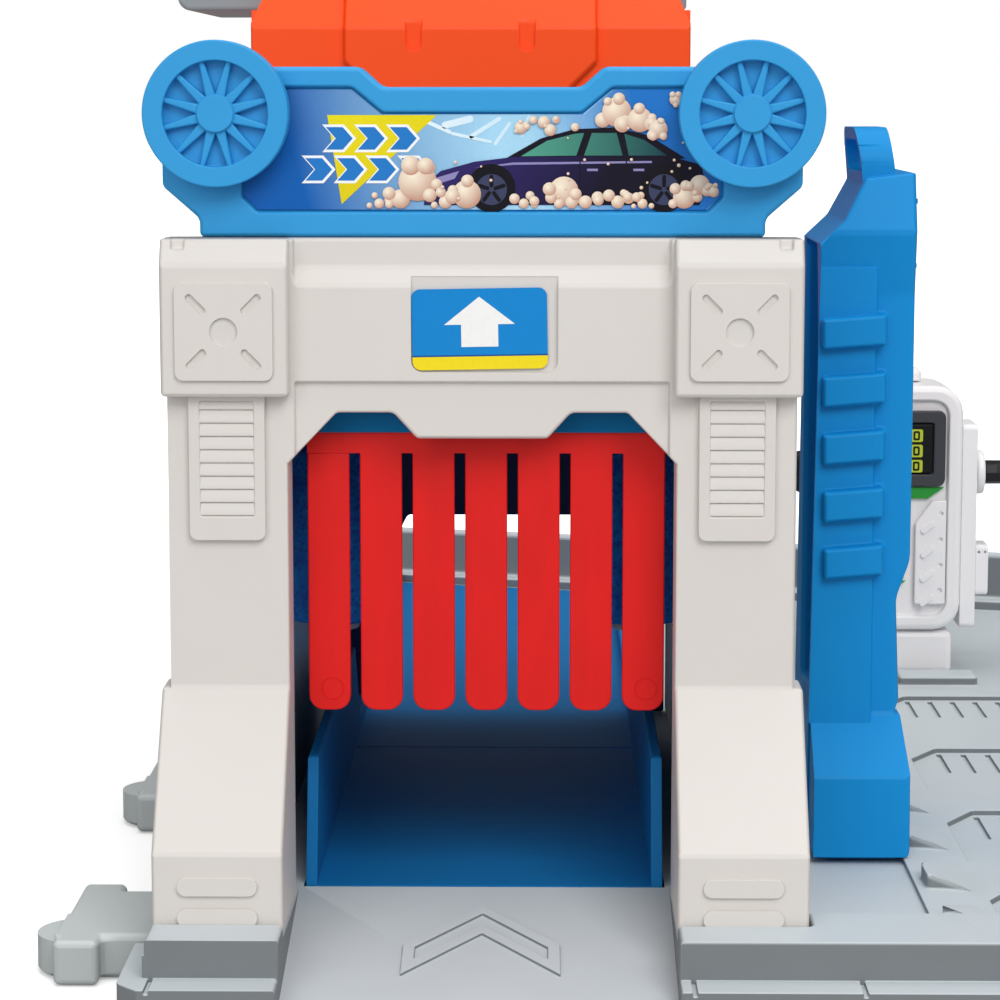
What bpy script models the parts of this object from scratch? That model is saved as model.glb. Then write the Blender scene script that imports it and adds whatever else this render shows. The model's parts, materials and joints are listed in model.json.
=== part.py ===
"""Toy parking garage with a drive-through car wash, built as separate moulded pieces.

Metres, +Z up. +Y runs into the wash lane from its front ramp, +X is to the right of the lane.
The origin is on the underside of the base, below the front edge of the lane tray.
"""
import math

import bmesh
import bpy
from mathutils import Matrix, Vector

# Driving dimensions of the whole toy
LANE_WIDTH = 0.0488            # outer width of the lane tray
LANE_LENGTH = 0.2560           # length of the lane tray on its left side
DECK_HEIGHT = 0.0080           # top of the base's deck above the table
GATE_RISE = 0.0890             # deck to top of the front gate
TUNNEL_RISE = 0.0674           # height of the tunnel's side walls
TUNNEL_LENGTH = 0.1180         # lane front edge to the rear of the tunnel
FIT_GAP = 0.0003               # clearance between neighbouring pieces
OVERRUN = 0.0020               # how far a cutter runs past what it cuts

# Front gate
GATE_LANE_MARGIN = 0.0009      # gate opening beyond the tray, each side
LEG_WIDTH = 0.0157
LEG_FOOT_FLARE = 0.0012        # foot wider than the leg, outer side
GATE_FRONT = -0.0120           # front plane of legs and beam
GATE_DEPTH = 0.0065
FOOT_REACH = 0.0140            # foot in front of the leg's plane
FOOT_RISE = 0.0110             # upright part of the foot above the deck
KNEE_RISE = 0.0300             # where the slope from the foot meets the leg
GATE_WALL = 0.0018
ARCH_SPRING_DROP = 0.0293      # from gate top down to where the opening's corners start
ARCH_SLOPE = 0.0063            # run of the opening's sloping corner
ARCH_LOW_CROWN_DROP = 0.0261   # from gate top down to the centre tab
ARCH_CROWN_DROP = 0.0227       # from gate top down to the side notches
TAB_HALF_WIDTH = 0.0085
TAB_SLOPE = 0.0031
TOP_BAND_HEIGHT = 0.0038
TOP_BAND_DEPTH = 0.0014
TOP_BAND_CHAMFER = 0.0022
BEAM_STEP_DROP = 0.0186        # gate top to the step under the beam's face
BEAM_STEP_DEPTH = 0.0008
CORNER_BLOCK_WIDTH = 0.0166
CORNER_BLOCK_HEIGHT = 0.0203
CORNER_BLOCK_PROUD = 0.0030
CORNER_BLOCK_CHAMFER = 0.0016
CORNER_BLOCK_OUTSET = 0.0005   # block beyond the leg's outer side
NOTCH_WIDTH = 0.0016
NOTCH_DEPTH = 0.0012
NOTCH_INSET = 0.0024
PLAQUE_SIZE = 0.0127
PLAQUE_PROUD = 0.0006
PLAQUE_DROP = 0.0118           # gate top to the plaque's centre
PLAQUE_HOLE_RADIUS = 0.00164
PLAQUE_HOLE_DEPTH = 0.0012
PLAQUE_SLOT_LENGTH = 0.0034
PLAQUE_SLOT_WIDTH = 0.00065
PLAQUE_SLOT_OFFSET = 0.0046
VENT_WIDTH = 0.0101
VENT_TOP_DROP = 0.0205
VENT_HEIGHT = 0.0189
VENT_PROUD = 0.0010
VENT_BORDER = 0.0014
VENT_DEPTH = 0.0010
VENT_LOUVRES = 8
PILL_LENGTH = 0.0101
PILL_HEIGHT = 0.0023
PILL_DEPTH = 0.0006
PILL_DROP = 0.0042             # top of the upright foot down to the upper pill's centre
PILL_PITCH = 0.0040

# Gate label
LABEL_RECESS_WIDTH = 0.0193
LABEL_RECESS_HEIGHT = 0.0124
LABEL_RECESS_DEPTH = 0.0008
LABEL_DROP = 0.0111            # gate top to the label's centre
LABEL_WIDTH = 0.0179
LABEL_HEIGHT = 0.0108
LABEL_THICKNESS = 0.0003
LABEL_CORNER = 0.0008
LABEL_TILT = math.radians(1.0)

# Sign on top of the gate
SIGN_FOOT_HALF_WIDTH = 0.0368
SIGN_HALF_WIDTH = 0.0416
SIGN_HEIGHT = 0.0217
SIGN_FOOT_RISE = 0.0021
SIGN_SHOULDER_RISE = 0.0063
SIGN_UPPER_RISE = 0.0150
SIGN_TOP_INSET = 0.0036
SIGN_DIP_HALF_WIDTH = 0.0129
SIGN_DIP_SLOPE = 0.0029
SIGN_DIP_DROP = 0.0026
SIGN_SETBACK = 0.0030          # behind the gate's front plane
SIGN_THICKNESS = 0.0050
SIGN_FRAME = 0.0026
SIGN_FIELD_HALF_WIDTH = 0.0313
SIGN_FIELD_RISE = 0.0030       # sign foot to the lower edge of the sunk field
SIGN_FIELD_CORNER = 0.0020
SIGN_DIP_FRAME = 0.0032
SIGN_POCKET = 0.0010
SIGN_SHEET = 0.0004
WHEEL_HALF_SPAN = 0.0345
WHEEL_RISE = 0.0157            # sign foot to wheel centre
WHEEL_RADIUS = 0.0094
WHEEL_RING_INNER = 0.0068
WHEEL_HUB_RADIUS = 0.0021
WHEEL_THICKNESS = 0.0038
WHEEL_FLOOR = 0.0010
WHEEL_SPOKES = 12
WHEEL_SPOKE_RIM_WIDTH = 0.0010
WHEEL_SPOKE_HUB_SHARE = 0.78   # share of the pitch at the hub taken by a spoke
WHEEL_SPOKE_DROP = 0.0008      # spokes below the ring's face

# Curtain under the gate
CURTAIN_STRIPS = 7
CURTAIN_WIDTH = 0.0476
CURTAIN_SHIFT = 0.0004         # the soft moulding sits a little to the right
CURTAIN_THICKNESS = 0.0008
CURTAIN_GAP = 0.0014
HEADER_HEIGHT = 0.0058
HEADER_SHOW = 0.0028           # part of the header below its beam
STRIP_LENGTH = 0.0345
STRIP_CORNER = 0.0014
STRIP_AXIS_DROP = 0.0005       # bending line below the strip's top edge
STRIP_CORNER_STEPS = 4
BEAM_HEIGHT = 0.0047
BEAM_DEPTH = 0.0062
BEAM_LIP = 0.0005
BEAM_GROOVE_WALL = 0.0005

# Tunnel
WALL_STANDOFF = 0.0051         # tray side to the tunnel wall
WALL_THICKNESS = 0.0022
WALL_RIB_PITCH = 0.0300
WALL_RIB_WIDTH = 0.0016
WALL_RIB_PROUD = 0.0008
ROOF_THICKNESS = 0.0030
ROOF_OVERHANG = 0.0048
ROOF_PANEL_MARGIN = 0.0030     # sunk panel in front of the upper storey
ROOF_PANEL_DEPTH = 0.0008
PORTAL_THICKNESS = 0.0030
PORTAL_HALF_WIDTH = 0.0230
PORTAL_SHOULDER_RISE = 0.0200
PORTAL_CROWN_RISE = 0.0350
PORTAL_CROWN_HALF_WIDTH = 0.0154

# Wash rollers
ROLLER_RADIUS = 0.0070
ROLLER_WALL_GAP = 0.0015
ROLLER_DISTANCE = 0.0120       # behind the lane's front edge
ROLLER_LENGTH = 0.0240
ROLLER_TOP_DROP = 0.0087       # roof underside to the sleeve's top
ROLLER_EDGE = 0.0010
SPINDLE_RADIUS = 0.0016
SPINDLE_COLLAR_RADIUS = 0.0034
SPINDLE_COLLAR_HEIGHT = 0.0012
SPINDLE_HEAD_RADIUS = 0.0032
SPINDLE_HEAD_HEIGHT = 0.0012

# Lane tray
TRAY_WALL = 0.0015
TRAY_FLOOR = 0.0012
TRAY_SINK = 0.0015             # tray bed below the deck
TRAY_WALL_RISE = 0.0170
TRAY_NOSE_RUN = 0.0050
TRAY_HIGH_END_SHARE = 0.74     # share of the tunnel's length with high tray walls
TRAY_LOW_RISE = 0.0030
TRAY_FALL_RUN = 0.0120

# Base
BASE_LEFT_MARGIN = 0.0034      # beyond the foot of the gate
BASE_RIGHT = 0.1300
FLANGE_FRONT = -0.0390
FLANGE_HEIGHT = 0.0050
FLANGE_CORNER = 0.0030
RIM_FRONT = -0.0340
RIM_RISE = 0.0020
CURB_WIDTH = 0.0140
RAMP_NOSE = 0.0008
REAR_SLANT = math.radians(15.4)  # the rear edge runs forward towards the right
PARAPET_THICKNESS = 0.0030
PARAPET_RISE = 0.0115          # deck to the top of the rear parapet
PARAPET_STEP_RUN = 0.0035
PARAPET_STEP_RISE = 0.0019
PARAPET_CHAMFER = 0.0008
GROOVE_WIDTH = 0.0006
GROOVE_DEPTH = 0.0006
CHEVRON_HALF_WIDTH = 0.0103
CHEVRON_APEX = -0.0068
CHEVRON_ARM_DROP = 0.0116
CHEVRON_BAND = 0.0082
CHEVRON_LINE = 0.0016
CHEVRON_PROUD = 0.0005
POCKET_PITCH = 0.0330
POCKET_RIB = 0.0016
POCKET_CEILING = 0.0045
POCKET_LEFT_MARGIN = 0.0065
POCKET_EDGE = 0.0020
ISLAND_RISE = 0.0008
ISLAND_LEFT = 0.0588
ISLAND_END = 0.1850
ISLAND_CORNER = 0.0120
BAY_COUNT = 4
BAY_BACK = -0.0015             # rear wall of the first sunk bay
BAY_PITCH = 0.0429
BAY_LEFT = 0.0678
BAY_DEPTH = 0.0300
BAY_SINK = 0.0009
BAY_CORNER_RUN = 0.0048
BAY_CORNER_DEPTH = 0.0076
HATCH_COUNT = 11
HATCH_LENGTH = 0.0135
HATCH_WIDTH = 0.0008
HATCH_PITCH = 0.0040
WEDGE_COUNT = 4
WEDGE_FRONT = -0.0266
WEDGE_PITCH = 0.0220
WEDGE_LEFT = 0.0600
WEDGE_LENGTH = 0.0070
WEDGE_SKEW = 0.0007
WEDGE_NEAR_DEPTH = 0.0066
WEDGE_FAR_DEPTH = 0.0133
WEDGE_FAR_INSET = 0.0018
WEDGE_RISE = 0.0022
KERB_BAR_LENGTH = 0.0142
KERB_BAR_WIDTH = 0.0070
KERB_BAR_RISE = 0.0018
KERB_BAR_STANDOFF = 0.0020     # in front of the pump's foot

# Clips that join the base to a neighbour
CLIP_BAR_LENGTH = 0.0295
CLIP_BAR_WIDTH = 0.0060
CLIP_NECK_LENGTH = 0.0223
CLIP_STANDOFF = 0.0024         # bar clear of the base's edge
CLIP_HEIGHT = 0.0060
CLIP_KNOB_RADIUS = 0.0062
CLIP_KNOB_SHIFT = -0.0060       # knob towards the front of its bar
CLIP_TONGUE = 0.0040           # reach into the base
CLIP_CENTRE = -0.0065
CLIP_SPACING = 0.0820

# Plug-in pylon beside the gate
PYLON_CENTRE = 0.0529
PYLON_WIDTH = 0.0142
PYLON_FRONT = 0.0200
PYLON_DEPTH = 0.0250
PYLON_SLAB = 0.0040
PYLON_WEB = 0.0035
PYLON_RISE = 0.0966
PYLON_FOOT_REACH = 0.0080
PYLON_FOOT_RISE = 0.0125
PYLON_SLOPE_RISE = 0.0200
PYLON_FOOT_INSET = 0.0003
PYLON_SOLE_GAP = 0.0010
PYLON_SOLE_INSET = 0.0020
PYLON_WAIST = 0.0023
PYLON_WAIST_LOW = 0.0220
PYLON_WAIST_HIGH = 0.0366
PYLON_WAIST_END = 0.0420
PYLON_SHOULDER_DROP = 0.0113
PYLON_CHEEK_DROP = 0.0098
PYLON_NECK_DROP = 0.0067
PYLON_NECK_INSET = 0.0040
PYLON_PEAK_INSET = 0.0072
PYLON_PEAK_DROP = 0.0008
PYLON_CAP = 0.0100
PYLON_CREASE_DROP = 0.0170     # pylon top to where its front starts to lean back
PYLON_LEAN = 0.0016
PYLON_PAD_WIDTH = 0.0087
PYLON_PAD_PROUD = 0.0012
PYLON_PAD_TOP_DROP = 0.0131
PYLON_BAR_LENGTH = 0.0101
PYLON_BAR_HEIGHT = 0.0044
PYLON_BAR_PITCH = 0.0081
PYLON_BAR_COUNT = 5
PYLON_BAR_PROUD = 0.0028
PYLON_BAR_TOP_DROP = 0.0198
PYLON_BAR_SLOPE = math.radians(4.0)
PYLON_LOOP_WIDTH = 0.0046
PYLON_LOOP_RISE = 0.0062
PYLON_LOOP_BAND = 0.0017
PYLON_LOOP_CORNER = 0.0034
PYLON_LOOP_INSET = 0.0008
PYLON_BUMP = 0.0008
PYLON_BUMP_DROPS = (0.0036, 0.0081, 0.0126)

# Fuel pump
PUMP_LEFT = 0.0608
PUMP_WIDTH = 0.0240
PUMP_FRONT = 0.1450
PUMP_DEPTH = 0.0170
PUMP_FOOT_HEIGHT = 0.0080
PUMP_FOOT_INSET = 0.0012
PUMP_BODY_HEIGHT = 0.0452
PUMP_CORNER = 0.0050
PUMP_EDGE = 0.0008
FIELD_BORDER = 0.0027
FIELD_DEPTH = 0.0010
BEZEL_HEIGHT = 0.0138
BEZEL_TOP_DROP = 0.0045
BEZEL_THICKNESS = 0.0014
BEZEL_CORNER = 0.0012
SCREEN_BORDER = 0.0022
SCREEN_THICKNESS = 0.0006
STRIPE_HEIGHT = 0.0021
STRIPE_THICKNESS = 0.0005
STRIPE_END_SLOPE = 0.0030
LOW_STRIPE_RISE = 0.0093
PANEL_HEIGHT = 0.0176
PANEL_WIDTH = 0.0064
PANEL_CORNER = 0.0042
PANEL_THICKNESS = 0.0012
KNOB_RADIUS = 0.0020
KNOB_HEIGHT = 0.0024
KNOB_SHIFT = 0.0031
SIDE_BOX_WIDTH = 0.0028
SIDE_BOX_HEIGHT = 0.0378
SIDE_BOX_DEPTH = 0.0110
SIDE_BOX_CORNER = 0.0010
HOLSTER_WIDTH = 0.0023
HOLSTER_HEIGHT = 0.0094
HOLSTER_DEPTH = 0.0070
HOLSTER_RISE = 0.0058
HOSE_RADIUS = 0.00225
HOSE_RISE = 0.0284             # hose ends above the body's underside
HOSE_SINK = 0.0018             # the run behind the pump hangs lower
HOSE_BACK_GAP = 0.0080
HOSE_SIDE_GAP = 0.0090
HOSE_STEPS = 34
FITTING_RADIUS = 0.0041
FITTING_LENGTH = 0.0015
NOZZLE_WIDTH = 0.0064
NOZZLE_HEIGHT = 0.0072
NOZZLE_DEPTH = 0.0090
NOZZLE_CORNER = 0.0016

# Upper housing on the tunnel's roof
HOUSING_LEFT = -0.0360
HOUSING_WIDTH = 0.0660
HOUSING_FRONT = 0.0550
HOUSING_WALL = 0.0030
HOUSING_REAR_INSET = 0.0020
HOUSING_RISE = 0.0489          # roof top to the deck's seat
FASCIA_CREASE_RISE = 0.0463
FASCIA_TOP_RISE = 0.0565
FASCIA_LEAN = 0.0060
FASCIA_CORNER_RISE = 0.0470
FASCIA_CORNER_RUN = 0.0042
CREST_HALF_WIDTH = 0.01895
CREST_CORNER = 0.0046
CREST_BOTTOM_RISE = 0.0366
CREST_PROUD = 0.0014
CREST_SLOT_SPAN = 0.0170
CREST_SLOT_WIDTH = 0.0024
CREST_SLOT_HEIGHT = 0.0060
CREST_SLOT_RISE = 0.0457
CREST_SLOT_DEPTH = 0.0006

# Roof parking deck
ROOFDECK_LEFT_REACH = 0.0126   # beyond the housing's left side
ROOFDECK_THICKNESS = 0.0030
ROOFDECK_FRONT_GAP = 0.0050
ROOFDECK_CHAMFER = 0.0012
ROOFDECK_RIM_HEIGHT = 0.0026
ROOFDECK_RIM_WIDTH = 0.0018
ROOFDECK_LINE_COUNT = 3
ROOFDECK_LINE_WIDTH = 0.0010
ROOFDECK_LINE_DEPTH = 0.0004

# Places worked out from the sizes above
LANE_HALF = LANE_WIDTH / 2
OPENING_HALF = LANE_HALF + GATE_LANE_MARGIN
LEG_OUTER = OPENING_HALF + LEG_WIDTH
FOOT_OUTER = LEG_OUTER + LEG_FOOT_FLARE
GATE_BACK = GATE_FRONT + GATE_DEPTH
GATE_FOOT_FRONT = GATE_FRONT - FOOT_REACH
SEAT = DECK_HEIGHT + FIT_GAP
GATE_TOP = DECK_HEIGHT + GATE_RISE
SIGN_FOOT = GATE_TOP + FIT_GAP
WALL_INNER = LANE_HALF + WALL_STANDOFF
WALL_OUTER = WALL_INNER + WALL_THICKNESS
TUNNEL_FRONT = GATE_BACK + FIT_GAP
ROOF_UNDER = SEAT + TUNNEL_RISE + FIT_GAP
ROOF_TOP = ROOF_UNDER + ROOF_THICKNESS
ROOF_HALF = WALL_OUTER + ROOF_OVERHANG
HEADER_BOTTOM = ROOF_UNDER - FIT_GAP - BEAM_HEIGHT - HEADER_SHOW
CURTAIN_PLANE = TUNNEL_FRONT + BEAM_GROOVE_WALL + FIT_GAP + CURTAIN_THICKNESS / 2
STRIP_TOP = HEADER_BOTTOM - FIT_GAP
STRIP_WIDTH = (CURTAIN_WIDTH - (CURTAIN_STRIPS - 1) * CURTAIN_GAP) / CURTAIN_STRIPS
ROLLER_OFFSET = WALL_INNER - ROLLER_WALL_GAP - ROLLER_RADIUS
BASE_LEFT = -(FOOT_OUTER + BASE_LEFT_MARGIN)
HOUSING_SEAT = ROOF_TOP + FIT_GAP
HOUSING_RIGHT = HOUSING_LEFT + HOUSING_WIDTH
HOUSING_REAR = TUNNEL_LENGTH - HOUSING_REAR_INSET
PUMP_SEAT = DECK_HEIGHT + ISLAND_RISE + FIT_GAP
PUMP_BODY_SEAT = PUMP_SEAT + PUMP_FOOT_HEIGHT + FIT_GAP
PUMP_RIGHT = PUMP_LEFT + PUMP_WIDTH
PUMP_BODY_TOP = PUMP_BODY_SEAT + PUMP_BODY_HEIGHT
PYLON_LEFT = PYLON_CENTRE - PYLON_WIDTH / 2
PYLON_RIGHT = PYLON_CENTRE + PYLON_WIDTH / 2
PYLON_BACK = PYLON_FRONT + PYLON_DEPTH

# Colours as linear RGB with roughness
FINISHES = {
    "base_grey": ((0.42, 0.48, 0.50), 0.50),
    "clip_grey": ((0.45, 0.49, 0.48), 0.52),
    "tray_blue": ((0.01, 0.13, 0.38), 0.35),
    "gate_ivory": ((0.76, 0.73, 0.70), 0.38),
    "sign_blue": ((0.01, 0.20, 0.62), 0.32),
    "label_print": ((0.02, 0.25, 0.68), 0.40),
    "curtain_red": ((0.75, 0.02, 0.02), 0.48),
    "foam_blue": ((0.01, 0.04, 0.32), 0.95),
    "pylon_blue": ((0.02, 0.20, 0.52), 0.35),
    "deep_blue": ((0.01, 0.06, 0.25), 0.40),
    "pump_white": ((0.80, 0.79, 0.76), 0.35),
    "bezel_grey": ((0.06, 0.06, 0.07), 0.45),
    "screen_black": ((0.01, 0.01, 0.01), 0.15),
    "stripe_green": ((0.05, 0.45, 0.10), 0.40),
    "hose_black": ((0.02, 0.02, 0.02), 0.55),
    "housing_orange": ((1.00, 0.11, 0.02), 0.38),
}

AXES = {
    "X": Matrix(((0, 0, 1), (1, 0, 0), (0, 1, 0))).to_4x4(),
    "Y": Matrix(((1, 0, 0), (0, 0, -1), (0, 1, 0))).to_4x4(),
    "Z": Matrix.Identity(4),
}


def clear_scene():
    """Remove every object, so that the model starts from nothing."""
    for obj in list(bpy.data.objects):
        bpy.data.objects.remove(obj, do_unlink=True)


def make_collection(name):
    """Return a new collection linked to the scene."""
    collection = bpy.data.collections.new(name)
    bpy.context.scene.collection.children.link(collection)
    return collection


clear_scene()
PARTS = make_collection("toy_parking_garage")
CUTTERS = make_collection("cutters")


def make_material(name):
    """Return the named plastic, made on first use."""
    material = bpy.data.materials.get(name)
    if material is None:
        colour, roughness = FINISHES[name]
        material = bpy.data.materials.new(name)
        material.use_nodes = True
        shader = material.node_tree.nodes["Principled BSDF"]
        shader.inputs["Base Color"].default_value = (*colour, 1.0)
        shader.inputs["Roughness"].default_value = roughness
        shader.inputs["Metallic"].default_value = 0.0
        material.diffuse_color = (*colour, 1.0)
    return material


def new_object(name, mesh):
    """Link a mesh as a hidden helper; finish() moves it to the parts."""
    obj = bpy.data.objects.new(name, mesh)
    obj.hide_render = True
    obj.display_type = "WIRE"
    CUTTERS.objects.link(obj)
    return obj


def from_bmesh(name, bm):
    """Turn a bmesh into a helper object."""
    bmesh.ops.recalc_face_normals(bm, faces=bm.faces)
    mesh = bpy.data.meshes.new(name)
    bm.to_mesh(mesh)
    bm.free()
    return new_object(name, mesh)


def box(name, x_span, y_span, z_span):
    """A box between three pairs of coordinates."""
    low = Vector((min(x_span), min(y_span), min(z_span)))
    high = Vector((max(x_span), max(y_span), max(z_span)))
    bm = bmesh.new()
    bmesh.ops.create_cube(bm, size=1.0)
    bmesh.ops.scale(bm, vec=high - low, verts=bm.verts)
    bmesh.ops.translate(bm, vec=(low + high) / 2, verts=bm.verts)
    return from_bmesh(name, bm)


def cylinder(name, centre, radius, length, axis="Z", segments=24, top_radius=None):
    """A cylinder or cone whose middle is at centre."""
    bm = bmesh.new()
    bmesh.ops.create_cone(
        bm, cap_ends=True, segments=segments, radius1=radius,
        radius2=radius if top_radius is None else top_radius, depth=length)
    bmesh.ops.transform(bm, matrix=Matrix.Translation(centre) @ AXES[axis], verts=bm.verts)
    return from_bmesh(name, bm)


def curve_to_mesh(name, curve):
    """Make a helper mesh from curve data, with its caps welded on."""
    source = bpy.data.objects.new(name, curve)
    CUTTERS.objects.link(source)
    evaluated = source.evaluated_get(bpy.context.evaluated_depsgraph_get())
    mesh = bpy.data.meshes.new_from_object(evaluated)
    bpy.data.objects.remove(source, do_unlink=True)
    bm = bmesh.new()
    bm.from_mesh(mesh)
    bpy.data.meshes.remove(mesh)
    bmesh.ops.remove_doubles(bm, verts=bm.verts, dist=FIT_GAP / 30)
    return bm


def prism(name, points, axis, span):
    """Extrude a flat outline along an axis, between the two places in span.

    Points are (x, z) for axis Y, (y, z) for axis X and (x, y) for axis Z.
    """
    curve = bpy.data.curves.new(name, "CURVE")
    curve.dimensions = "2D"
    curve.fill_mode = "BOTH"
    curve.extrude = abs(span[1] - span[0]) / 2
    spline = curve.splines.new("POLY")
    spline.points.add(len(points) - 1)
    for point, (u, v) in zip(spline.points, points):
        point.co = (u, v, 0.0, 1.0)
    spline.use_cyclic_u = True
    bm = curve_to_mesh(name, curve)
    middle = (span[0] + span[1]) / 2
    offset = {"X": (middle, 0, 0), "Y": (0, middle, 0), "Z": (0, 0, middle)}[axis]
    bmesh.ops.transform(bm, matrix=Matrix.Translation(offset) @ AXES[axis], verts=bm.verts)
    bmesh.ops.dissolve_limit(bm, angle_limit=math.radians(0.5), verts=bm.verts, edges=bm.edges)
    return from_bmesh(name, bm)


def turned(name, profile, centre, axis="Z", segments=32):
    """Revolve a closed profile of (radius, height) points round an axis."""
    bm = bmesh.new()
    rows = [bm.verts.new((radius, 0.0, height)) for radius, height in profile]
    for start, end in zip(rows, rows[1:]):
        bm.edges.new((start, end))
    mesh = bpy.data.meshes.new(name)
    bm.to_mesh(mesh)
    bm.free()
    obj = new_object(name, mesh)
    screw = obj.modifiers.new("turn", "SCREW")
    screw.steps = segments
    screw.render_steps = segments
    screw.use_merge_vertices = True
    screw.merge_threshold = 0.00001
    bake(obj)
    obj.data.transform(Matrix.Translation(centre) @ AXES[axis])
    bm = bmesh.new()
    bm.from_mesh(obj.data)
    bmesh.ops.remove_doubles(bm, verts=bm.verts, dist=FIT_GAP / 30)
    bmesh.ops.recalc_face_normals(bm, faces=bm.faces)
    bm.to_mesh(obj.data)
    bm.free()
    return obj


def bake(obj):
    """Replace an object's mesh by its evaluated one."""
    evaluated = obj.evaluated_get(bpy.context.evaluated_depsgraph_get())
    mesh = bpy.data.meshes.new_from_object(evaluated)
    obj.modifiers.clear()
    obj.data = mesh
    return obj


def group(name, helpers):
    """Join helpers that don't touch each other into one helper."""
    bm = bmesh.new()
    for helper in helpers:
        bm.from_mesh(helper.data)
        bpy.data.objects.remove(helper, do_unlink=True)
    return from_bmesh(name, bm)


def combine(obj, helper, operation):
    """Add a Boolean modifier that uses the helper, and bake it."""
    modifier = obj.modifiers.new(helper.name, "BOOLEAN")
    modifier.operation = operation
    modifier.solver = "EXACT"
    modifier.object = helper
    bake(obj)
    return obj


def cut(obj, *helpers):
    """Cut each helper out of the object."""
    for helper in helpers:
        combine(obj, helper, "DIFFERENCE")
    return obj


def join(obj, *helpers):
    """Fuse each helper with the object."""
    for helper in helpers:
        combine(obj, helper, "UNION")
    return obj


def bevel(obj, width, segments=1, angle=35.0):
    """Round or chamfer the edges sharper than the angle."""
    modifier = obj.modifiers.new("edges", "BEVEL")
    modifier.width = width
    modifier.segments = segments
    modifier.limit_method = "ANGLE"
    modifier.angle_limit = math.radians(angle)
    modifier.use_clamp_overlap = True
    return bake(obj)


def turn(obj, angle, axis, pivot):
    """Rotate a helper's mesh about an axis through the pivot."""
    place = Matrix.Translation(pivot)
    obj.data.transform(place @ Matrix.Rotation(angle, 4, axis) @ place.inverted())
    return obj


def mirrored(points):
    """Return an outline's right half followed by its mirror image."""
    return points + [(-x, z) for x, z in reversed(points)]


def inset(points, distance):
    """Move each side of a convex-cornered outline inwards by the distance."""
    area = sum(a[0] * b[1] - b[0] * a[1] for a, b in zip(points, points[1:] + points[:1]))
    side = 1.0 if area > 0 else -1.0
    moved = []
    for index, corner in enumerate(points):
        before = Vector(points[index - 1])
        here = Vector(corner)
        after = Vector(points[(index + 1) % len(points)])
        first = (here - before).normalized()
        second = (after - here).normalized()
        normal_a = Vector((-first.y, first.x)) * side
        normal_b = Vector((-second.y, second.x)) * side
        bisector = (normal_a + normal_b).normalized()
        reach = distance / max(bisector.dot(normal_a), math.cos(math.radians(80.0)))
        moved.append(tuple(here + bisector * reach))
    return moved


def rounded_rectangle(centre, width, height, radius, steps=3):
    """Outline of a rectangle with round corners."""
    points = []
    for quarter, (sx, sy) in enumerate(((1, -1), (1, 1), (-1, 1), (-1, -1))):
        middle = Vector((centre[0] + sx * (width / 2 - radius), centre[1] + sy * (height / 2 - radius)))
        for step in range(steps + 1):
            angle = math.pi / 2 * (quarter - 1 + step / steps)
            points.append((middle.x + radius * math.cos(angle), middle.y + radius * math.sin(angle)))
    return points


def finish(obj, name, finish_name, pivot=(0.0, 0.0, 0.0), smooth=30.0):
    """Name a finished piece, give it its material and put its origin at the pivot."""
    CUTTERS.objects.unlink(obj)
    PARTS.objects.link(obj)
    obj.name = name
    obj.data.name = name
    obj.hide_render = False
    obj.display_type = "TEXTURED"
    obj.data.materials.clear()
    obj.data.materials.append(make_material(finish_name))
    obj.data.transform(Matrix.Translation(-Vector(pivot)))
    obj.location = pivot
    obj.data.shade_smooth()
    obj.data.set_sharp_from_angle(angle=math.radians(smooth))
    obj.parent = ROOT
    return obj


def make_root():
    """The empty that carries the whole toy."""
    root = bpy.data.objects.new("garage_root", None)
    root.empty_display_size = LANE_HALF
    PARTS.objects.link(root)
    return root


ROOT = make_root()


def ramp_height(y):
    """Height of the lane ramp's surface at a distance y."""
    return RAMP_NOSE + (DECK_HEIGHT - RAMP_NOSE) * (y - FLANGE_FRONT) / -FLANGE_FRONT


def rear_edge(x, inwards=0.0):
    """Y of the base's slanting rear edge at a distance x, moved in by some amount."""
    reach = LANE_LENGTH + FIT_GAP + PARAPET_STEP_RUN + PARAPET_THICKNESS
    return reach - (x + LANE_HALF) * math.tan(REAR_SLANT) - inwards


def base_outline():
    """Outline of the base seen from above."""
    return [
        (BASE_LEFT + FLANGE_CORNER, FLANGE_FRONT), (BASE_RIGHT, FLANGE_FRONT), (BASE_RIGHT, rear_edge(BASE_RIGHT)),
        (BASE_LEFT, rear_edge(BASE_LEFT)), (BASE_LEFT, FLANGE_FRONT + FLANGE_CORNER),
    ]


def parapet():
    """Low wall with a step at its foot, swept along the slanting rear edge."""
    low = FLANGE_HEIGHT / 2
    top = DECK_HEIGHT + PARAPET_RISE
    edge = PARAPET_CHAMFER
    deep = PARAPET_THICKNESS + PARAPET_STEP_RUN
    step_top = DECK_HEIGHT + PARAPET_STEP_RISE
    profile = [(-deep, low), (0.0, low), (0.0, top - edge), (-edge, top), (edge - PARAPET_THICKNESS, top),
               (-PARAPET_THICKNESS, top - edge), (-PARAPET_THICKNESS, step_top), (-deep, step_top)]
    wall = prism("parapet", profile, "X", (-FOOT_OUTER, BASE_RIGHT - FIT_GAP))
    for vertex in wall.data.vertices:
        vertex.co.y += rear_edge(vertex.co.x, FIT_GAP / 2)
    return wall


def base_rims():
    """Rim in front of the left foot, and the curb that runs on from the right foot."""
    rims = []
    top = DECK_HEIGHT + RIM_RISE
    low = FLANGE_HEIGHT / 2
    pocket_front = GATE_FOOT_FRONT - FIT_GAP
    rims.append(box("rim", (-FOOT_OUTER, -OPENING_HALF), (RIM_FRONT, pocket_front), (low, top)))
    rims.append(prism("curb", [(OPENING_HALF, RIM_FRONT), (BASE_RIGHT, RIM_FRONT), (BASE_RIGHT, RIM_FRONT + CURB_WIDTH),
                               (FOOT_OUTER + FIT_GAP, RIM_FRONT + CURB_WIDTH), (FOOT_OUTER + FIT_GAP, pocket_front),
                               (OPENING_HALF, pocket_front)], "Z", (low, top)))
    return rims


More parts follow.
